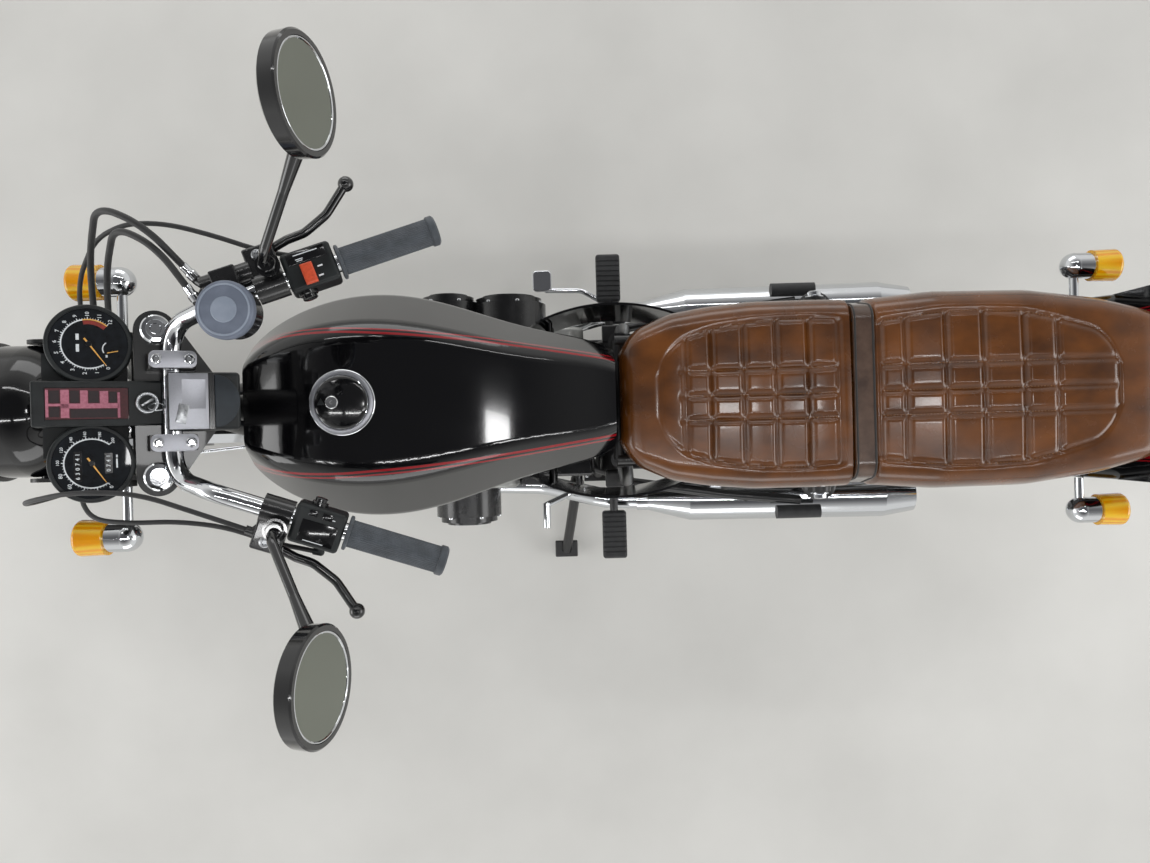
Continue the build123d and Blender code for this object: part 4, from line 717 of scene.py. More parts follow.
def stitchesOn(seat):  # beads of thread along the channels, each seated on the cover
    deselectAll()
    bpy.ops.mesh.primitive_uv_sphere_add(segments=6, ring_count=4, radius=0.5)
    bead = current("stitchBead")
    bead.scale = (stitchRow["length"] * mm, stitchRow["width"] * mm, stitchRow["height"] * mm)
    bakePlace(bead)
    spots = []
    pitch = stitchRow["pitch"]
    for first, last in stitchRow["channels"]:
        for line in seatShape["stitchLines"]:
            x = first
            while x > last:
                spots.append((x, line, 0.0))
                x -= pitch
    for edge, first, last in stitchRow["outlines"]:
        xs = np.arange(first, last, -pitch)
        reach = along(seatShape[edge], xs, 1)
        for x, y, slope in zip(xs, reach, np.gradient(reach, xs)):
            for side in bothSides:
                spots.append((x, side * y, side * math.atan(slope)))
    copies = []
    for x, y, angle in spots:
        hit, point, normal, _ = seat.ray_cast(Vector((x * mm, y * mm, 0.9)), Vector((0, 0, -1)))
        if not hit:
            continue
        spot = Matrix.Translation(point + normal * 0.0002)
        level = axes((0, 0, 0), (1, math.tan(angle), 0), normal)
        copies.append(copyTo(bead, spot @ level, "stitch"))
    row = join(copies, "seatStitching")
    bpy.data.objects.remove(bead)
    return fit(row, "thread", "chassis", 60)


stitching = stitchesOn(seat)
print("stitches:", len(stitching.data.polygons), "faces")

# tyres
tyreShape = {
    "steps": 300,
    "chevron": 9.0,  # degrees that the tread's angled grooves run back from middle to shoulder
    "grooveEvery": 6,
    "grooveDepth": 3.2,
    "bead": 229.4,  # radius where the tyre meets the rim
    "lip": 243.0,  # radius of the rim's lip
    "crown": 12.5,  # how far the tread falls from its middle to its shoulder
    # body, axle x, axle z, radius, width, half width at the rim
    "front_tyre": ("front_wheel", 751.0, 309.0, 309.0, 80.0, 26.7),
    "rear_tyre": ("rear_wheel", -649.0, 346.0, 321.0, 93.0, 30.7),
}


def makeTyre(node):
    body, axleX, axleZ, radius, width, rimHalf = tyreShape[node]
    lip, bead = tyreShape["lip"], tyreShape["bead"]
    shoulder = 0.38 * width
    # bead, lip and sidewall, then the arch of the tread, and the same again on the other side
    rows = [(bead, -rimHalf), (lip, -rimHalf), (lip + 3, -rimHalf - 2.5), (lip + 6, -rimHalf - 3.2),
            ((lip + radius) / 2 - 8, -width / 2 + 0.6), (radius - 20, -width / 2 + 1.4)]
    crown = shoulder ** 2 / (2 * tyreShape["crown"]) + tyreShape["crown"] / 2  # radius of the tread's arch
    for y in np.linspace(-shoulder, shoulder, 21):
        rows.append((radius - 0.4 - (crown - math.sqrt(crown ** 2 - y ** 2)), y))
    rows += [(r, -y) for r, y in reversed(rows[:6])]
    tyre = lathe(node.replace("_t", "T"), rows, tyreShape["steps"])
    mesh = tyre.data
    for vertex in mesh.vertices:  # the angled grooves run back towards the shoulders
        reach = min(1.0, abs(vertex.co.z) / (shoulder * mm))
        if math.hypot(vertex.co.x, vertex.co.y) > (radius - 24) * mm:
            turn = -math.radians(tyreShape["chevron"]) * reach
            x, y = vertex.co.x, vertex.co.y
            vertex.co.x = x * math.cos(turn) - y * math.sin(turn)
            vertex.co.y = x * math.sin(turn) + y * math.cos(turn)
    mesh.update()
    stepAngle = math.tau / tyreShape["steps"]

    def isGroove(centre, normal):
        y = centre.z / mm
        if math.hypot(centre.x, centre.y) < (radius - 20) * mm:
            return False
        if abs(y) < 2.2:
            return True
        if abs(y) > shoulder - 1:
            return False
        turn = math.atan2(centre.y, centre.x) + math.radians(tyreShape["chevron"]) * abs(y) / shoulder
        column = int(math.floor((turn % math.tau) / stepAngle + 0.001)) % tyreShape["steps"]
        start = 3 if (column // tyreShape["grooveEvery"]) % 2 else 10
        return column % tyreShape["grooveEvery"] == 0 and abs(y) > start

    chooseFaces(tyre, isGroove)
    bpy.ops.mesh.extrude_region_shrink_fatten(
        TRANSFORM_OT_shrink_fatten={"value": -tyreShape["grooveDepth"] * mm})
    leaveEdit()
    put(tyre, shift(axleX, 0, axleZ) @ turned(-90, "X"))
    mendNormals(tyre)
    return fit(tyre, "tyre", body, 40, [node])


for node in ("front_tyre", "rear_tyre"):
    tyre = makeTyre(node)
    print(node, len(tyre.data.polygons), "faces")

# chain
chainShape = {
    "left": 75.0,
    "small": (-100.0, 345.0, 41.3),  # sprocket's x, z and the radius of the chain's middle line
    "large": (-649.0, 346.0, 108.0),
    "pitch": 15.9,
    "plate": (3.4, 1.6),  # half height and thickness
    "kinds": ((3.6, 6.6), (5.4, 12.8)),  # plates' distance from the middle, and the roller's length
    "eyeRadius": 6.0,
    "rollerRadius": 5.0,
}


def chainLoop():  # the chain's middle line as a function of the distance along it
    (x1, z1, r1), (x2, z2, r2) = chainShape["small"], chainShape["large"]
    span = math.hypot(x2 - x1, z2 - z1)
    tilt = math.atan2(z2 - z1, x2 - x1)
    lean = math.asin((r2 - r1) / span)
    straight = math.sqrt(span ** 2 - (r2 - r1) ** 2)
    smallArc = r1 * (math.pi - 2 * lean)
    largeArc = r2 * (math.pi + 2 * lean)

    def spot(s):
        s %= 2 * straight + smallArc + largeArc
        if s < straight:  # lower run, small sprocket to large
            a = tilt + math.pi / 2 + lean
            x, z = x1 + r1 * math.cos(a), z1 + r1 * math.sin(a)
            heading = tilt + lean
            return x + s * math.cos(heading), z + s * math.sin(heading), heading
        s -= straight
        if s < largeArc:  # round the large sprocket
            a = tilt + math.pi / 2 + lean - s / r2
            return x2 + r2 * math.cos(a), z2 + r2 * math.sin(a), a - math.pi / 2
        s -= largeArc
        if s < straight:  # upper run, large to small
            a = tilt - math.pi / 2 - lean
            x, z = x2 + r2 * math.cos(a), z2 + r2 * math.sin(a)
            heading = tilt + math.pi - lean
            return x + s * math.cos(heading), z + s * math.sin(heading), heading
        s -= straight  # round the small sprocket
        a = tilt - math.pi / 2 - lean - s / r1
        return x1 + r1 * math.cos(a), z1 + r1 * math.sin(a), a - math.pi / 2

    return spot, 2 * straight + smallArc + largeArc


def makeChain():
    spot, total = chainLoop()
    links = 2 * round(total / chainShape["pitch"] / 2)
    step = total / links
    half, thick = chainShape["plate"]
    kinds = []
    for offset, across in chainShape["kinds"]:
        sides = []
        for side in bothSides:
            plate = slab("linkPlate", step * 0.55, thick, 2 * half)
            put(plate, shift(0, side * offset, -half))
            bevelAll(plate, 0.5 * mm, 1)
            sides.append(plate)
            for end in (-1, 1):
                eye = tube("linkEye", chainShape["eyeRadius"], thick, 12)
                put(eye, shift(end * step / 2, side * offset + thick / 2, 0) @ turned(90, "X"))
                sides.append(eye)
        roller = tube("roller", chainShape["rollerRadius"], across, 12)
        put(roller, shift(step / 2, across / 2, 0) @ turned(90, "X"))
        kinds.append(join(sides + [roller], "linkKind"))
    made = []
    for index in range(links):
        x, z, heading = spot((index + 0.5) * step)
        matrix = shift(x, chainShape["left"], z) @ Matrix.Rotation(-heading, 4, "Y")
        made.append(copyTo(kinds[index % 2], matrix, "link"))
    for kind in kinds:
        bpy.data.objects.remove(kind)
    chain = join(made, "driveChain")
    return fit(chain, "chain", "chassis", 35, ["chain"])


chain = makeChain()
print("chain:", len(chain.data.polygons), "faces")

# rear shock absorbers
shockShape = {
    "low": (-600.0, 146.0, 372.0),
    "top": (-520.0, 146.0, 688.7),
    "wire": 3.9,
    "coilRadius": 25.0,
    "turns": 9,
    "springFrom": 52.0,
    "springTo": 262.0,
}


def makeShocks():
    low, top = Vector(shockShape["low"]), Vector(shockShape["top"])
    length = (top - low).length
    shockPlace = axes(low, (0, 1, 0), top - low)
    first, last = shockShape["springFrom"], shockShape["springTo"]
    profile = [(0, 17), (12, 17), (15, 20), (19, 24), (19, 40), (22, 42), (28, 44), (29.5, 47), (29.5, 51),
               (20, 51.5), (16, 54), (16, 170), (8, 172), (8, last + 3), (27, last + 4), (28, last + 7),
               (28, last + 12), (24, last + 15), (24, length - 24), (12, length - 17), (0, length - 17)]
    body = lathe("shockBody", profile, 40)
    deselectAll()
    bpy.ops.mesh.primitive_circle_add(vertices=10, radius=shockShape["wire"] * mm, fill_type="NOTHING",
                                      rotation=(math.pi / 2, 0, 0),
                                      location=(shockShape["coilRadius"] * mm, 0, (first + 4) * mm))
    spring = current("shockSpring")
    bakePlace(spring)
    screw = spring.modifiers.new("winding", "SCREW")
    screw.steps = screw.render_steps = 26
    screw.iterations = shockShape["turns"]
    screw.screw_offset = (last - first - 8) / shockShape["turns"] * mm
    applyAll(spring)
    editAll(spring)
    bpy.ops.mesh.fill_holes(sides=12)
    leaveEdit()
    mendNormals(spring)
    bodies, springs = [], []
    for side in (1, -1):
        flip = Matrix.Identity(4) if side == 1 else flipSide
        bodies.append(copyTo(body, flip @ shockPlace, "shockSide"))
        springs.append(copyTo(spring, flip @ shockPlace, "springSide"))
        for spot in (low, top):
            eye = lathe("shockEye", [(8.6, -11), (12, -11), (12, -9), (17.8, -9), (17.8, 9), (12, 9),
                                     (12, 11), (8.6, 11), (8.6, -11)], 32)
            put(eye, shift(spot.x, side * spot.y, spot.z) @ turned(90, "X"))
            bodies.append(eye)
    for piece in (body, spring):
        bpy.data.objects.remove(piece)
    made = join(bodies, "shockBodies")
    coils = join(springs, "shockSprings")
    fit(made, "framePaint", "chassis", 35, ["rear_shocks"])
    fit(coils, "chrome", "chassis", 60)
    return made, coils


shocks, springs = makeShocks()
print("shock absorbers:", len(shocks.data.polygons) + len(springs.data.polygons), "faces")

# dials
dialShape = {
    "forward": 127.0,
    "aside": 71.0,
    "face": 815.72,  # height of the glass in the fork's frame, in mm
    "ringRadius": 29.0,
    "ringWidth": 1.5,
    "labelRadius": 35.2,
    "digitSize": 6.0,
    "print": 0.22,  # thickness of what is printed
    # small print: side, towards the rider, to the left, length, width
    "smallPrint": [(-1, -11.7, -8.2, 3.4, 7.2), (-1, -11.7, 5.0, 3.4, 9.0), (1, 26.6, 0.5, 1.8, 11.0),
                   (1, 26.6, -8.0, 1.8, 3.4), (-1, 18.6, 14.5, 2.2, 3.0)],
    "counters": [(-14.6, -13.5, 6), (17.8, -11.0, 4)],  # towards the rider, to the left, digits
    "needles": [(-1, 31.5, 55.0), (1, 27.5, 57.0)],  # side, length from the hub, angle
    # side, first mark, step, labels, scale start, scale end, where the red zone starts, in degrees
    "tachometer": (-1, 55.0, 21.4, [str(k) for k in range(13)], 58.0, 313.0, 258.0),
    "speedometer": (1, 54.6, 25.6, [str(20 * k) for k in range(11)], 55.0, 311.0, None),
}


def arcBand(name, radius, width, first, last, height):  # flat arc, 0 degrees to the rider and 90 to the left
    deselectAll()
    bpy.ops.mesh.primitive_plane_add(size=1)
    band = current(name)
    band.scale = (width * mm, height * mm, 1)
    bakePlace(band)
    put(band, turned(180 - first, "Z") @ shift(radius, 0, height / 2) @ turned(90, "X"))
    editAll(band)
    steps = max(2, round(abs(last - first) / 4))
    bpy.ops.mesh.spin(steps=steps, angle=math.radians(last - first), center=(0, 0, 0), axis=(0, 0, 1))
    leaveEdit()
    mendNormals(band)
    return band


def lettering(name, word, size, height):  # numerals made mesh, with their middle at the origin
    deselectAll()
    bpy.ops.object.text_add()
    text = bpy.context.object
    text.data.body = word
    text.data.size = size * mm
    text.data.align_x = "CENTER"
    text.data.align_y = "CENTER"
    text.data.extrude = height * mm / 2
    text.data.offset = 0.012 * size * mm
    text.data.resolution_u = 2
    bpy.ops.object.convert(target="MESH")
    piece = current(name)
    put(piece, shift(0, 0, height / 2))
    mendNormals(piece)
    return piece


def atDial(side, radius, angle):  # place on a dial: 0 degrees is nearest to the rider, 90 to the left
    centre = shift(dialShape["forward"], side * dialShape["aside"], dialShape["face"])
    return forkPlace @ centre @ turned(180 - angle, "Z") @ shift(radius, 0, 0)


def makeDials():
    white, red, amber, dark = [], [], [], []
    ring, thick = dialShape["ringRadius"], dialShape["print"]
    for dial in ("tachometer", "speedometer"):
        side, first, step, labels, start, end, redFrom = dialShape[dial]
        centre = atDial(side, 0, 180)
        white.append(put(arcBand("ring", ring, dialShape["ringWidth"], start, redFrom or end, thick), centre))
        if redFrom:
            red.append(put(arcBand("zone", ring - 3.4, 4.6, redFrom, end, thick * 0.7), centre))
            amber.append(put(arcBand("zoneRing", ring, dialShape["ringWidth"], redFrom, end, thick), centre))
        for k, label in enumerate(labels):
            angle = first + step * k
            tick = slab("tick", 2.6, 1.0, thick)
            white.append(put(tick, atDial(side, ring + 1.6, angle)))
            digit = lettering("digit", label, dialShape["digitSize"] if len(label) < 3 else 4.6, thick)
            white.append(put(digit, atDial(side, dialShape["labelRadius"], angle) @ turned(angle + 90, "Z")))
            if k + 1 < len(labels):
                for part in (1, 2, 3):
                    small = slab("smallTick", 1.6, 0.45, thick)
                    white.append(put(small, atDial(side, ring + 1.2, angle + step * part / 4)))
    for side, back, left, length, width in dialShape["smallPrint"]:
        white.append(put(slab("print", length, width, thick), atDial(side, 0, 180) @ shift(-back, left, 0)))
    for back, left, count in dialShape["counters"]:
        centre = atDial(1, 0, 180)
        window = slab("window", 8.4, 5.6 * count + 2, thick)
        dark.append(put(window, centre @ shift(-back, left + 2.8 * count, 0)))
        for k in range(count):
            digit = lettering("counterDigit", str((3 * k + 1) % 10), 6.2, thick)
            spot = shift(-back, left + 5.6 * k + 2.8, thick * 0.6)
            white.append(put(digit, centre @ spot @ turned(-90, "Z")))
    subScale = atDial(-1, 0, 180) @ shift(-23.5, 6.0, 0)  # small fuel scale near the rider
    white.append(put(arcBand("subArc", 9.0, 1.3, 150, 235, thick), subScale))
    amber.append(put(slab("subNeedle", 12.0, 1.0, 0.8), subScale @ shift(-1.5, 3.4, 0) @ turned(12, "Z")))
    for side, reach, angle in dialShape["needles"]:
        deselectAll()
        bpy.ops.mesh.primitive_cone_add(vertices=4, radius1=1.5 * mm, radius2=0.5 * mm,
                                        depth=(reach + 8) * mm)
        needle = current("needle")
        put(needle, turned(90, "Y") @ turned(45, "Z"))
        put(needle, Matrix.Diagonal((1, 1, 0.5, 1)) @ shift(reach / 2 - 4, 0, 0))
        amber.append(put(needle, atDial(side, 0, angle) @ shift(0, 0, 1.6)))
        hub = tube("hub", 3.4, 2.6, 24)
        bevelAll(hub, 0.5 * mm)
        dark.append(put(hub, atDial(side, 0, angle)))
    made = []
    for pieces, name, key, slot in ((white, "dialMarks", "white", "clear_glass"),
                                    (red, "dialRedZone", "redInk", "clear_glass"),
                                    (amber, "dialNeedles", "needle", "clear_glass"),
                                    (dark, "dialHubs", "gloss", "black_plastic")):
        made.append(fit(join(pieces, name), key, "steering"))
    return made


dials = makeDials()
print("dials:", sum(len(piece.data.polygons) for piece in dials), "faces")

# warning-lamp panel, ignition lock and key
panelShape = {
    "top": 819.5,
    # forward from, forward to, left from, left to, all in mm in the fork's frame
    "bars": [(157.4, 95.4, -0.2, 5.6), (170.6, 157.4, -0.2, 2.8), (157.4, 148.6, -16.4, 16.6),
             (172.8, 169.8, -16.4, 15.6), (137.1, 129.2, -15.6, 0.4), (116.8, 107.8, -14.8, 0.4),
             (98.0, 95.3, -13.0, 17.0)],
    "windows": [(168.8, 158.6, -15.4, -1.2), (168.8, 158.6, 3.8, 15.4), (147.6, 138.2, -15.4, -1.2),
                (128.2, 117.8, -15.0, -1.2), (106.8, 98.8, -14.0, -1.2), (147.6, 98.8, 6.6, 16.6)],
}


def makePanel():
    base = put(slab("panelBase", 86.6, 36.6, 0.5), forkPlace @ shift(130, 0, panelShape["top"] - 0.06))
    fit(base, "maroon", "steering")
    for rows, name, key, height in (("bars", "panelBars", "pink", 0.9),
                                    ("windows", "panelWindows", "panelDark", 0.7)):
        pieces = []
        for x0, x1, y0, y1 in panelShape[rows]:
            bar = slab("bar", x0 - x1, y1 - y0, height)
            pieces.append(put(bar, forkPlace @ shift((x0 + x1) / 2, (y0 + y1) / 2, panelShape["top"])))
        piece = join(pieces, name)
        bevelAll(piece, 0.2 * mm, 1)
        fit(piece, key, "steering")


makePanel()

lockShape = {"x": 66.0, "top": 828.0}


def makeLock():
    collar = lathe("lockCollar", [(9.0, 0), (9.0, 1.8), (10.4, 2.4), (12.4, 2.2), (13.4, 1.0), (13.4, -6.0),
                                  (12.9, -6.0), (12.9, 0), (9.0, 0)], 48)
    put(collar, forkPlace @ shift(lockShape["x"], 0, lockShape["top"]))
    fit(collar, "zinc", "steering", 40)
    key = slab("keyBlade", 14.0, 2.4, 20.0)
    bow = tube("keyBow", 9.0, 2.4, 32)
    put(bow, shift(0, 1.2, 25.0) @ turned(90, "X"))
    parts = [put(piece, forkPlace @ shift(lockShape["x"], 0, lockShape["top"]) @ turned(32, "Z"))
             for piece in (key, bow)]
    deselectAll()
    bpy.ops.mesh.primitive_torus_add(major_segments=36, minor_segments=8, major_radius=9.0 * mm,
                                     minor_radius=0.7 * mm)
    ring = current("keyRing")
    put(ring, forkPlace @ shift(57.0, 6.0, lockShape["top"] + 26.0) @ turned(60, "X"))
    tag = slab("keyTag", 23.0, 11.5, 1.4)
    bevelAll(tag, 0.5 * mm)
    put(tag, forkPlace @ shift(30.0, 15.0, 866.4) @ turned(78, "Z"))
    made = join(parts + [ring, tag], "ignitionKey")
    bevelAll(made, 0.3 * mm, 1, 50)
    fit(made, "zinc", "steering", 40)


makeLock()

# cover over the middle of the handlebar
barTop = {
    "top": 864.0,
    "plate": (44.0, 0.5, 33.5),  # forward from, forward to, half width
    "label": (30.0, 4.0, -26.0, 9.0),
    "strip": (0.0, -6.5, 34.0),
    "padRadius": 30.0,
}


def makeBarTop():
    front, rear, half = barTop["plate"]
    level = barTop["top"]
    plate = slab("barTopPlate", front - rear, 2 * half, 1.6)
    bevelAll(plate, 0.7 * mm, 3)
    put(plate, forkPlace @ shift((front + rear) / 2, 0, level))
    x0, x1, y0, y1 = barTop["label"]
    frame = slab("barTopLabel", x0 - x1, y1 - y0, 0.7)
    chooseFaces(frame, lambda centre, normal: normal.z > 0.9)
    bpy.ops.mesh.inset(thickness=1.2 * mm)
    bpy.ops.transform.translate(value=(0, 0, -0.4 * mm))
    leaveEdit()
    put(frame, forkPlace @ shift((x0 + x1) / 2, (y0 + y1) / 2, level + 1.6))
    nose = slab("barTopNose", 1.4, 2 * half - 4, 34.0)
    bevelAll(nose, 0.6 * mm, 2)
    put(nose, forkPlace @ shift(46.6, 0, level - 39.0))
    fit(join([plate, frame, nose], "barTopSilver"), "linished", "steering", 40)
    x0, x1, wide = barTop["strip"]
    strip = slab("barTopStrip", x0 - x1, 2 * wide, 1.0)
    bevelAll(strip, 0.4 * mm)
    put(strip, forkPlace @ shift((x0 + x1) / 2, 0, level))
    fit(strip, "gloss", "steering")
    pad = tube("barTopPad", barTop["padRadius"], 3.2, 72)
    editAll(pad)
    bpy.ops.mesh.bisect(plane_co=(0, 0, 0), plane_no=(1, 0, 0), clear_outer=True, use_fill=True)
    leaveEdit()
    bevelAll(pad, 1.1 * mm, 3)
    put(pad, forkPlace @ shift(-6.5, 0, level) @ Matrix.Diagonal((0.95, 1.06, 1, 1)))
    fit(pad, "padPlastic", "steering", 40)


makeBarTop()

# caps of the handlebar clamps with their bolts
clampShape = {"x": 39.0, "y": 49.0, "top": 872.0, "length": 52.0, "width": 20.4, "corner": 7.0,
              "boltAt": 17.5, "boltRadius": 6.2}


def boltHead(radius, height):  # round head with a hexagon socket, its foot at z 0, in mm
    shares = [(0, 0.5), (0.42, 0.5), (0.46, 1), (0.8, 0.94), (1, 0.66), (1, 0), (0, 0)]
    return lathe("boltHead", [(radius * across, height * up) for across, up in shares], 24)


def hexHead(radius, height):  # hexagon head on a washer, its foot at z 0, in mm
    head = tube("hexHead", radius, height, 6)
    bevelAll(head, 0.12 * radius * mm, 1, 20)
    put(head, shift(0, 0, 0.22 * height))
    return join([head, tube("washer", radius * 1.28, height * 0.24, 24)], "hexBolt")


def makeClamps():
    plates, bolts = [], []
    for side in bothSides:
        plate = slab("clampCap", clampShape["length"], clampShape["width"], 2.4)
        chooseEdges(plate, lambda span: abs(span.z) > 0.9)
        bpy.ops.mesh.bevel(offset=clampShape["corner"] * mm, segments=6)
        leaveEdit()
        bevelAll(plate, 1.0 * mm, 3)
        spot = shift(clampShape["x"], side * clampShape["y"], clampShape["top"])
        plates.append(put(plate, forkPlace @ spot))
        for forward in (-1, 1):
            bolt = boltHead(clampShape["boltRadius"], 6.0)
            spot = shift(clampShape["x"] + forward * clampShape["boltAt"], side * clampShape["y"],
                         clampShape["top"] + 2.2)
            bolts.append(put(bolt, forkPlace @ spot))
    fit(join(plates, "clampCaps"), "linished", "steering", 35)
    fit(join(bolts, "clampBolts"), "chrome", "steering", 35)


makeClamps()
print("bar top and clamps ready")

# grips with fine lengthwise ribs and a raised end
gripShape = {"radius": 16.1, "rib": 0.55, "ribs": 44, "length": 117.0, "end": 18.6}


def makeGrips():
    ribs = gripShape["ribs"]
    grip = tube("gripSleeve", gripShape["radius"], gripShape["length"], ribs * 2)
    for vertex in grip.data.vertices:  # every other line of the sleeve stands proud as a rib
        angle = math.atan2(vertex.co.y, vertex.co.x) / math.tau * ribs * 2
        if round(angle) % 2 == 0:
            grow = 1 + gripShape["rib"] / gripShape["radius"]
            vertex.co.x *= grow
            vertex.co.y *= grow
    put(grip, shift(0, 0, 3.0))
    wide, inner = gripShape["end"], gripShape["radius"] - 0.6
    end = lathe("gripEnd", [(0, -4.0), (6.5, -4.0), (7.5, -3.2), (wide - 2.4, -3.6), (wide, -1.4),
                            (wide, 5.0), (wide - 0.8, 6.2), (inner, 6.6), (inner, 12.0), (0, 12.0)], 56)
    collar = lathe("gripCollar", [(12.0, 0), (19.0, 0), (21.2, 1.2), (21.2, 4.0), (19.4, 5.0), (12.0, 5.0),
                                  (12.0, 0)], 56)
    put(collar, shift(0, 0, 116.0))
    one = join([grip, end, collar], "gripOne")
    smooth(one, 30)
    left = copyTo(one, leftBar, "gripLeft")
    right = copyTo(one, flipSide @ leftBar, "gripRight")
    bpy.data.objects.remove(one)
    return fit(join([left, right], "handGrips"), "grip", "steering", stands=["grips"])


handGrips = makeGrips()
print("grips:", len(handGrips.data.polygons), "faces")

# switch blocks: lids, marks, knobs and buttons, in the frame of each bar end
switchShape = {
    "top": 20.0,
    # outward, along from the end, width, length, height: flat blocks on the block's top
    "rightWhite": [(19.0, 154.0, 1.1, 29.0, 0.25), (13.6, 163.0, 1.0, 9.0, 0.25),
                   (11.6, 163.0, 1.0, 7.0, 0.25), (-1.0, 143.0, 1.9, 6.0, 0.25),
                   (-12.0, 145.5, 1.9, 6.0, 0.25)],
    "leftWhite": [(19.0, 154.0, 0.9, 24.0, 0.25), (-12.0, 139.0, 1.2, 4.5, 0.25),
                  (-12.0, 166.0, 1.2, 4.5, 0.25)],
    "rightLid": [(16.0, 154.0, 14.0, 46.0, 1.0)],
    "leftLid": [(8.0, 152.0, 26.0, 42.0, 1.6), (-14.5, 146.0, 8.0, 12.0, 5.0), (-14.5, 163.0, 7.0, 9.0, 4.0)],
    "kill": (-6.0, 158.0, 25.0, 14.5, 4.5),
    "rightButton": (-21.6, 4.0, 167.0, 9.0),  # outward, up, along and radius
    "leftButton": (-21.6, 2.0, 160.0, 7.5),
}


def makeSwitches():
    top = switchShape["top"]
    right = flipSide @ leftBar

    def flat(name, row, raised=0.0):
        x, z, width, length, height = row
        piece = slab(name, width, length, height)
        return put(piece, shift(x, top + raised, z) @ turned(-90, "X"))

    white = [put(flat("mark", row, 1.0 if row[0] > 5 else 0.0), right) for row in switchShape["rightWhite"]]
    white += [put(flat("mark", row, 1.6 if row[0] > 5 else 0.0), leftBar) for row in switchShape["leftWhite"]]
    lids = []
    for rows, end in ((switchShape["rightLid"], right), (switchShape["leftLid"], leftBar)):
        for row in rows:
            lid = flat("switchLid", row, -0.05)
            bevelAll(lid, 0.6 * mm, 2)
            lids.append(put(lid, end))
    for key, end in (("rightButton", right), ("leftButton", leftBar)):
        x, y, z, radius = switchShape[key]
        button = lathe("button", [(0, 0), (radius + 2.4, 0), (radius + 2.4, 4.0), (radius + 1.2, 5.0),
                                  (radius, 4.6), (radius, 9.0), (radius - 1.5, 10.0), (0, 10.2)], 40)
        lids.append(put(button, end @ shift(x, y, z) @ turned(-90, "Y")))
    x, z, width, length, height = switchShape["kill"]
    kill = slab("killSwitch", width, length, height)
    chooseFaces(kill, lambda centre, normal: normal.z > 0.9)
    bpy.ops.mesh.inset(thickness=1.6 * mm)
    bpy.ops.transform.translate(value=(0, 0, 0.8 * mm))
    leaveEdit()
    bevelAll(kill, 0.7 * mm, 2, 20)
    put(kill, right @ shift(x, top - 0.2, z) @ turned(-90, "X"))
    for pieces, name, key in ((white, "switchMarks", "white"), (lids, "switchLids", "gloss"),
                              ([kill], "killSwitch", "orange")):
        fit(join(pieces, name), key, "steering", 40)


makeSwitches()
print("switch blocks ready")

# caps and rings: each a turned form set on the solid below it
turnedForms = {
    # radius and height pairs in mm
    "capDish": [(0, 22.6), (8, 22.3), (16, 21.3), (24, 19.7), (31, 17.8), (35.4, 16.3), (36.4, 15.4),
                (36.4, 12.0), (0, 12.0)],
    "capRing": [(37.6, 11.5), (37.6, 14.4), (38.6, 15.4), (41.6, 15.4), (43.8, 14.2), (44.6, 11.5),
                (37.6, 11.5)],
    "capLock": [(0, 1.5), (2.0, 1.5), (2.6, 2.5), (7.6, 2.5), (8.8, 1.6), (9, -1.5), (0, -1.5)],
    "forkCaps": [(0, 3.4), (6.0, 3.4), (6.6, 5.2), (10.6, 5.2), (11.4, 3.6), (15.6, 3.2), (17.2, 1.6),
                 (17.4, 0.1), (0, 0.1)],
    "reservoirDisc": [(0, 1.0), (13.4, 1.0), (14.6, 0.2), (14.6, -1), (0, -1)],
    "reservoirRing": [(27.0, -0.6), (27.2, 0.5), (28.4, 0.9), (29.4, 0.3), (29.6, -0.6), (27.0, -0.6)],
    "mirrorRings": [(52.6, -1.8), (52.8, -0.9), (53.6, -0.3), (54.6, -0.2), (55.4, -0.8), (55.4, -1.8),
                    (52.6, -1.8)],
    "headlampRim": [(91.2, -17.2), (93.2, -17.4), (97.6, -15.2), (98.2, -10), (98.0, -5.6), (95.8, -0.8),
                    (92.4, 0.8), (86.3, 0.8), (86.1, -0.4), (91.2, -0.6), (91.2, -17.2)],
    "hoseSleeves": [(0, -5), (5.4, -5), (6.6, -3.6), (6.6, 3), (5.6, 4), (5.2, 5.2), (5.2, 14), (4.5, 15.4),
                    (0, 15.4)],
    "wireGrommets": [(0, -0.4), (8.0, -0.4), (8.0, 1.8), (5.6, 3.4), (4.2, 11), (0, 11)],
    "tyreValve": [(0, -2.5), (5.4, -2.5), (5.0, 2), (2.9, 4), (2.9, 16), (3.8, 16.5), (3.8, 25), (2.8, 26.5),
                  (0, 26.5)],
}


def outward(side):  # turn that sends z to +y on the left and to -y on the right
    return turned(-90 * side, "X")


def onFork(x, y, z):
    return forkPlace @ shift(x, y, z)


def setAround(model, spots, name, finish, body, angle=30):  # one piece of copies of a model
    made = join([copyTo(model, spot, name) for spot in spots], name)
    bpy.data.objects.remove(model)
    return fit(made, finish, body, angle)


def setTurned(name, spots, finish, body, steps=48, form=None, angle=30):
    model = lathe("turnedForm", turnedForms[form or name], steps)
    return setAround(model, spots, name, finish, body, angle)


capPlace, reservoirPlace = shift(190, 0, 890), shift(256, -97, 1140)
forkTops = [onFork(55, side * 90, 822) for side in bothSides]
wireHoles = [shift(560, side * 30, 890) @ turned(-90, "Y") for side in bothSides]
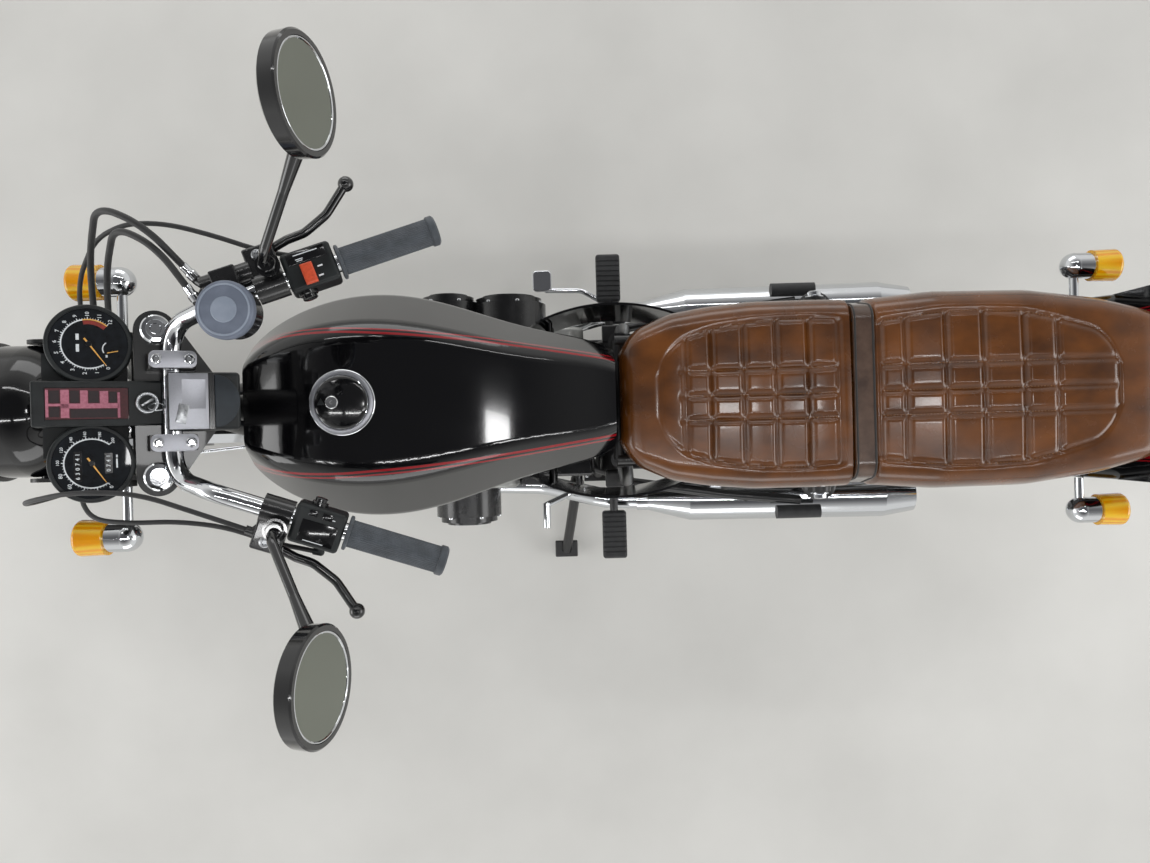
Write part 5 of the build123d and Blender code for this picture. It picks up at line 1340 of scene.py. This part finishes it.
# where the two hoses leave the master cylinder, and the point that each heads for
unions = [((312, -146, 1088), (345, -194, 1134)), ((307, -119, 1095), (336, -172, 1124))]
sleeves = [axes(start, (0, 0, 1), Vector(toward) - Vector(start)) for start, toward in unions]
sleeves += [onFork(112, side * 70, 133) for side in bothSides] + [onFork(86, y, 571) for y in (-22, 0, 28)]
mirrors = [axes((131.0, side * 298.0, 1230.0), (0, 1, 0), (-0.97437, 0, 0.22495)) for side in bothSides]
setTurned("capDish", [capPlace], "gloss", "chassis", 72, angle=40)
setTurned("capRing", [capPlace], "linished", "chassis", 72)
setTurned("capLock", [shift(201, 0, 912)], "buffed", "chassis")
setTurned("forkCaps", forkTops, "chrome", "steering")
for form in ("reservoirDisc", "reservoirRing"):  # the names of these two pieces end in .001
    setTurned(form + ".001", [reservoirPlace], "capDisc", "steering", form=form)
setTurned("mirrorRings", mirrors, "chrome", "steering", 72)
setTurned("headlampRim", [shift(689, 0, 870) @ turned(90, "Y")], "chrome", "steering", 96)
setTurned("hoseSleeves", sleeves, "chrome", "steering", 24)
setTurned("wireGrommets", wireHoles, "hose", "steering", 24)
inward = Vector((-math.cos(math.pi / 7), 0, -math.sin(math.pi / 7)))  # between two spokes
for body, axle, name in (("front_wheel", (751, 0, 309), "frontValve"),
                         ("rear_wheel", (-649, 0, 346), "rearValve")):
    rimSide = Vector(axle) - 211 * inward
    setTurned(name, [axes(rimSide, (0, 1, 0), inward)], "hose", body, 20, "tyreValve")
print("caps and rings ready")

# screws of the engine, in mm
screwTable = {
    # centre, ring radius, count, first angle and sweep of the screws round each cover, its face and side
    "coverRings": [(110, 392, 53, 5, -60, 240, 205, -1), (-6, 378, 68, 6, 60, 240, 201, -1),
                   (80, 392, 58, 6, 0, 300, 205, 1)],
    # forward, up, face and side
    "caseScrews": [(222, 446, 150, 1), (224, 298, 150, 1), (4, 446, 150, 1), (4, 298, 150, 1),
                   (222, 446, 150, -1), (224, 298, 150, -1), (-150, 398, 134, 1), (-150, 304, 134, 1),
                   (-74, 400, 134, 1), (-74, 302, 134, 1)],
    # forward, left
    "headBolts": [(96, -90), (96, 0), (96, 90), (164, -90), (164, 0), (164, 90)],
}


def ringSpots(axle, radius, face, side, angles):  # places round an axle along y, facing outwards
    return [shift(axle[0] + radius * math.cos(math.radians(angle)), side * face,
                  axle[1] + radius * math.sin(math.radians(angle))) @ outward(side) for angle in angles]


def makeBolts():
    screws = []
    for x, z, radius, count, first, sweep, face, side in screwTable["coverRings"]:
        screws += ringSpots((x, z), radius, face, side, np.linspace(first, first + sweep, count))
    screws += [shift(x, side * face, z) @ outward(side) for x, z, face, side in screwTable["caseScrews"]]
    screws += [shift(x, y, 688) for x, y in screwTable["headBolts"]]
    setAround(boltHead(4.2, 3.8), screws, "engineScrews", "chrome", "chassis")
    flange = [shift(210.1, side * 75 + across * 24.6, 628) @ turned(90, "Y")
              for side in bothSides for across in bothSides]
    setAround(hexHead(3.6, 5.0), flange, "exhaustNuts", "zinc", "chassis")
    ends = [shift(x, side * 157, z) @ outward(side)
            for side in bothSides for x, z in ((-600, 372), (-520, 688.7))]
    setAround(hexHead(11.0, 8.0), ends, "shockNuts", "chrome", "chassis")
    rearAxle = [shift(-649, side * 126, 346) @ outward(side) for side in bothSides]
    setAround(hexHead(14.0, 15.5), rearAxle, "rearAxleNuts", "zinc", "chassis")
    frontAxle = [shift(751, side * 112.5, 309) @ outward(side) for side in bothSides]
    setAround(hexHead(12.5, 9.5), frontAxle, "frontAxleNuts", "zinc", "steering")
    calipers = [onFork(96, side * 94, height) @ outward(side) for side in bothSides for height in (70, 120)]
    setAround(boltHead(6.0, 6.0), calipers, "caliperBolts", "zinc", "steering")
    discs = [spot for side in bothSides for spot in ringSpots((751, 309), 44, 52, side, range(36, 396, 72))]
    setAround(hexHead(4.6, 4.6), discs, "discBolts", "zinc", "front_wheel")
    sprocket = ringSpots((-649, 346), 72, 78.5, 1, range(0, 360, 60))
    setAround(hexHead(5.6, 5.4), sprocket, "sprocketNuts", "zinc", "rear_wheel")
    pivots, stems = ([end @ shift(*spot) @ turned(-90, "X") for end in (leftBar, flipSide @ leftBar)]
                     for spot in ((36, 12, 206), (16, 30, 198)))
    setAround(boltHead(6.6, 4.4), pivots, "leverPivots", "zinc", "steering")
    setAround(hexHead(11.0, 8.0), stems, "mirrorNuts", "gloss", "steering")
    tail = [shift(-1060, side * 66, 731) @ turned(-90, "Y") for side in bothSides]
    setAround(boltHead(3.6, 3.0), tail, "tailLampScrews", "chrome", "chassis")


makeBolts()
print("bolts ready")


def makeFlap():  # lid of the cap's lock, three-sided and dark
    flap = tube("capFlap", 6.5, 1.8, 3)
    bevelAll(flap, 0.7 * mm, 2, 20)
    put(flap, shift(216.5, 0, 908.7) @ turned(7, "Y") @ turned(180, "Z"))
    return fit(flap, "plastic", "chassis", 30)


makeFlap()

# piping along both edges of the seat strap; its angles run round the seat's heart, 0 to the left
pipingShape = {"lines": (-543.0, -569.2), "radius": 1.5, "from": -26, "to": 206, "steps": 84, "heart": 0.755}


def makePiping():
    strap = nodes["seat_strap"]
    lines = []
    for x in pipingShape["lines"]:
        path = bpy.data.curves.new("pipingPath", "CURVE")
        path.dimensions = "3D"
        path.bevel_depth = pipingShape["radius"] * mm
        path.bevel_resolution = 2
        path.use_fill_caps = True
        heart = Vector((x * mm, 0, pipingShape["heart"]))
        spots = []
        for angle in np.linspace(pipingShape["from"], pipingShape["to"], pipingShape["steps"] + 1):
            away = Vector((0, math.cos(math.radians(angle)), math.sin(math.radians(angle))))
            hit, point, _, _ = strap.ray_cast(heart + away * 0.4, -away)
            if hit:
                spots.append(point)
        line = path.splines.new("POLY")
        line.points.add(len(spots) - 1)
        for spot, point in zip(spots, line.points):
            point.co = (*spot, 1)
        piece = bpy.data.objects.new("strapPiping", path)
        bpy.context.scene.collection.objects.link(piece)
        activate(piece)
        bpy.ops.object.convert(target="MESH")
        lines.append(current("strapPiping"))
    piping = join(lines, "strapPiping")
    mendNormals(piping)
    return fit(piping, "piping", "chassis", 60)


piping = makePiping()
print("strap piping:", len(piping.data.polygons), "faces")

# floor, light and camera
studio = {
    "floorSize": 16.0,
    "fadeFrom": 2.2,  # metres from the origin
    "fadeTo": 6.5,
    "backdrop": "#eeeeec",
    "ceiling": "#5c5c5e",
    "floorColour": "#d9d8d4",
    # narrow tubes over the left side and one over the right, a small box over the seat and a soft
    # panel from each side: place, aim, width, height and watts
    "lamps": {
        "tubeFront": ((1.15, 0.62, 3.1), (1.15, 0.1, 0.8), 1.0, 0.045, 5),
        "tubeMiddle": ((-0.1, 0.62, 3.1), (-0.1, 0.1, 0.8), 1.0, 0.045, 5),
        "tubeRear": ((-1.35, 0.62, 3.1), (-1.35, 0.1, 0.8), 1.0, 0.045, 5),
        "boxOverSeat": ((-0.8, 0.05, 3.1), (-0.5, 0.02, 0.8), 0.17, 0.28, 3.5),
        "tubeRight": ((-0.1, -1.5, 3.0), (0, 0, 0.8), 3.2, 0.05, 9),
        "softFront": ((2.6, 0.6, 1.7), (0.3, 0, 0.6), 1.6, 1.2, 19),
        "softRear": ((-2.7, 0.5, 1.7), (-0.4, 0, 0.6), 1.6, 1.2, 19),
        "softLeft": ((0.2, 3.0, 1.4), (0, 0, 0.5), 2.6, 1.2, 19),
        "softRight": ((0.2, -3.0, 1.4), (0, 0, 0.5), 2.6, 1.2, 19),
    },
    "cameraSpot": (-0.129, 0.0485, 2.130),
    "cameraTurn": 178.45,  # degrees about the upright axis; the camera looks straight down
    "focal": 28.02,
}


def makeFloor():
    deselectAll()
    bpy.ops.mesh.primitive_plane_add(size=studio["floorSize"], location=(0, 0, -0.0004))
    floor = current("studioFloor")
    bakePlace(floor)
    # matt floor paint: pale, with the slightest mottling
    paint = makeFinish("paleFloorPaint", studio["floorColour"], 0.6,
                       tones=(blotches(420, 4), 0.3, 0.7, "#d3d2ce", "#dfdeda"))
    # far from the machine the floor runs into the backdrop, for every ray that the camera, a mirror
    # or a glass sends out
    tree, shader, where = workOn(paint)
    reach = addNode(tree, "VectorMath", {"operation": "LENGTH"}, {0: where})
    far = addNode(tree, "MapRange", {"interpolation_type": "SMOOTHSTEP", "From Min": studio["fadeFrom"],
                                     "From Max": studio["fadeTo"]}, {"Value": reach.outputs["Value"]})
    ray = addNode(tree, "LightPath")
    seen = addNode(tree, "Math", {"operation": "MAXIMUM"},
                   {0: ray.outputs["Is Camera Ray"], 1: ray.outputs["Is Glossy Ray"]})
    shown = addNode(tree, "Math", {"operation": "MAXIMUM"}, {0: seen, 1: ray.outputs["Is Transmission Ray"]})
    share = addNode(tree, "Math", {"operation": "MULTIPLY"}, {0: far, 1: shown})
    glow = addNode(tree, "Emission", {"Color": linear(studio["backdrop"])})
    blend = addNode(tree, "MixShader", None, {0: share, 1: shader, 2: glow})
    tree.links.new(blend.outputs[0], tree.nodes["Material Output"].inputs["Surface"])
    dress(floor, paint)


def makeRoom():  # pale walls all round and a dim ceiling, the same for every ray
    world = bpy.data.worlds.new("studioRoom")
    bpy.context.scene.world = world
    world.use_nodes = True
    tree = world.node_tree
    heading = addNode(tree, "SeparateXYZ", None, {0: addNode(tree, "TexCoord").outputs["Generated"]})
    room = addNode(tree, "ValToRGB", None, {"Fac": heading.outputs[2]},
                   ((0.42, studio["backdrop"]), (0.9, studio["ceiling"])))
    tree.links.new(room.outputs[0], tree.nodes["Background"].inputs["Color"])


def makeLamps():
    for name, (spot, aim, width, height, watts) in studio["lamps"].items():
        lamp = bpy.data.lights.new(name, "AREA")
        lamp.shape = "RECTANGLE"
        lamp.size, lamp.size_y = width, height
        lamp.energy = watts
        holder = bpy.data.objects.new(name, lamp)
        bpy.context.scene.collection.objects.link(holder)
        holder.location = spot
        holder.rotation_euler = (Vector(aim) - Vector(spot)).to_track_quat("-Z", "Y").to_euler()


def makeCamera():
    view = bpy.data.cameras.new("overheadCamera")
    view.sensor_width = 36
    view.lens = studio["focal"]
    camera = bpy.data.objects.new("overheadCamera", view)
    bpy.context.scene.collection.objects.link(camera)
    camera.location = studio["cameraSpot"]
    camera.rotation_euler = (0, 0, math.radians(studio["cameraTurn"]))
    bpy.context.scene.camera = camera
    bpy.context.scene.view_settings.view_transform = "Standard"


makeFloor()
makeRoom()
makeLamps()
makeCamera()
print("studio ready")
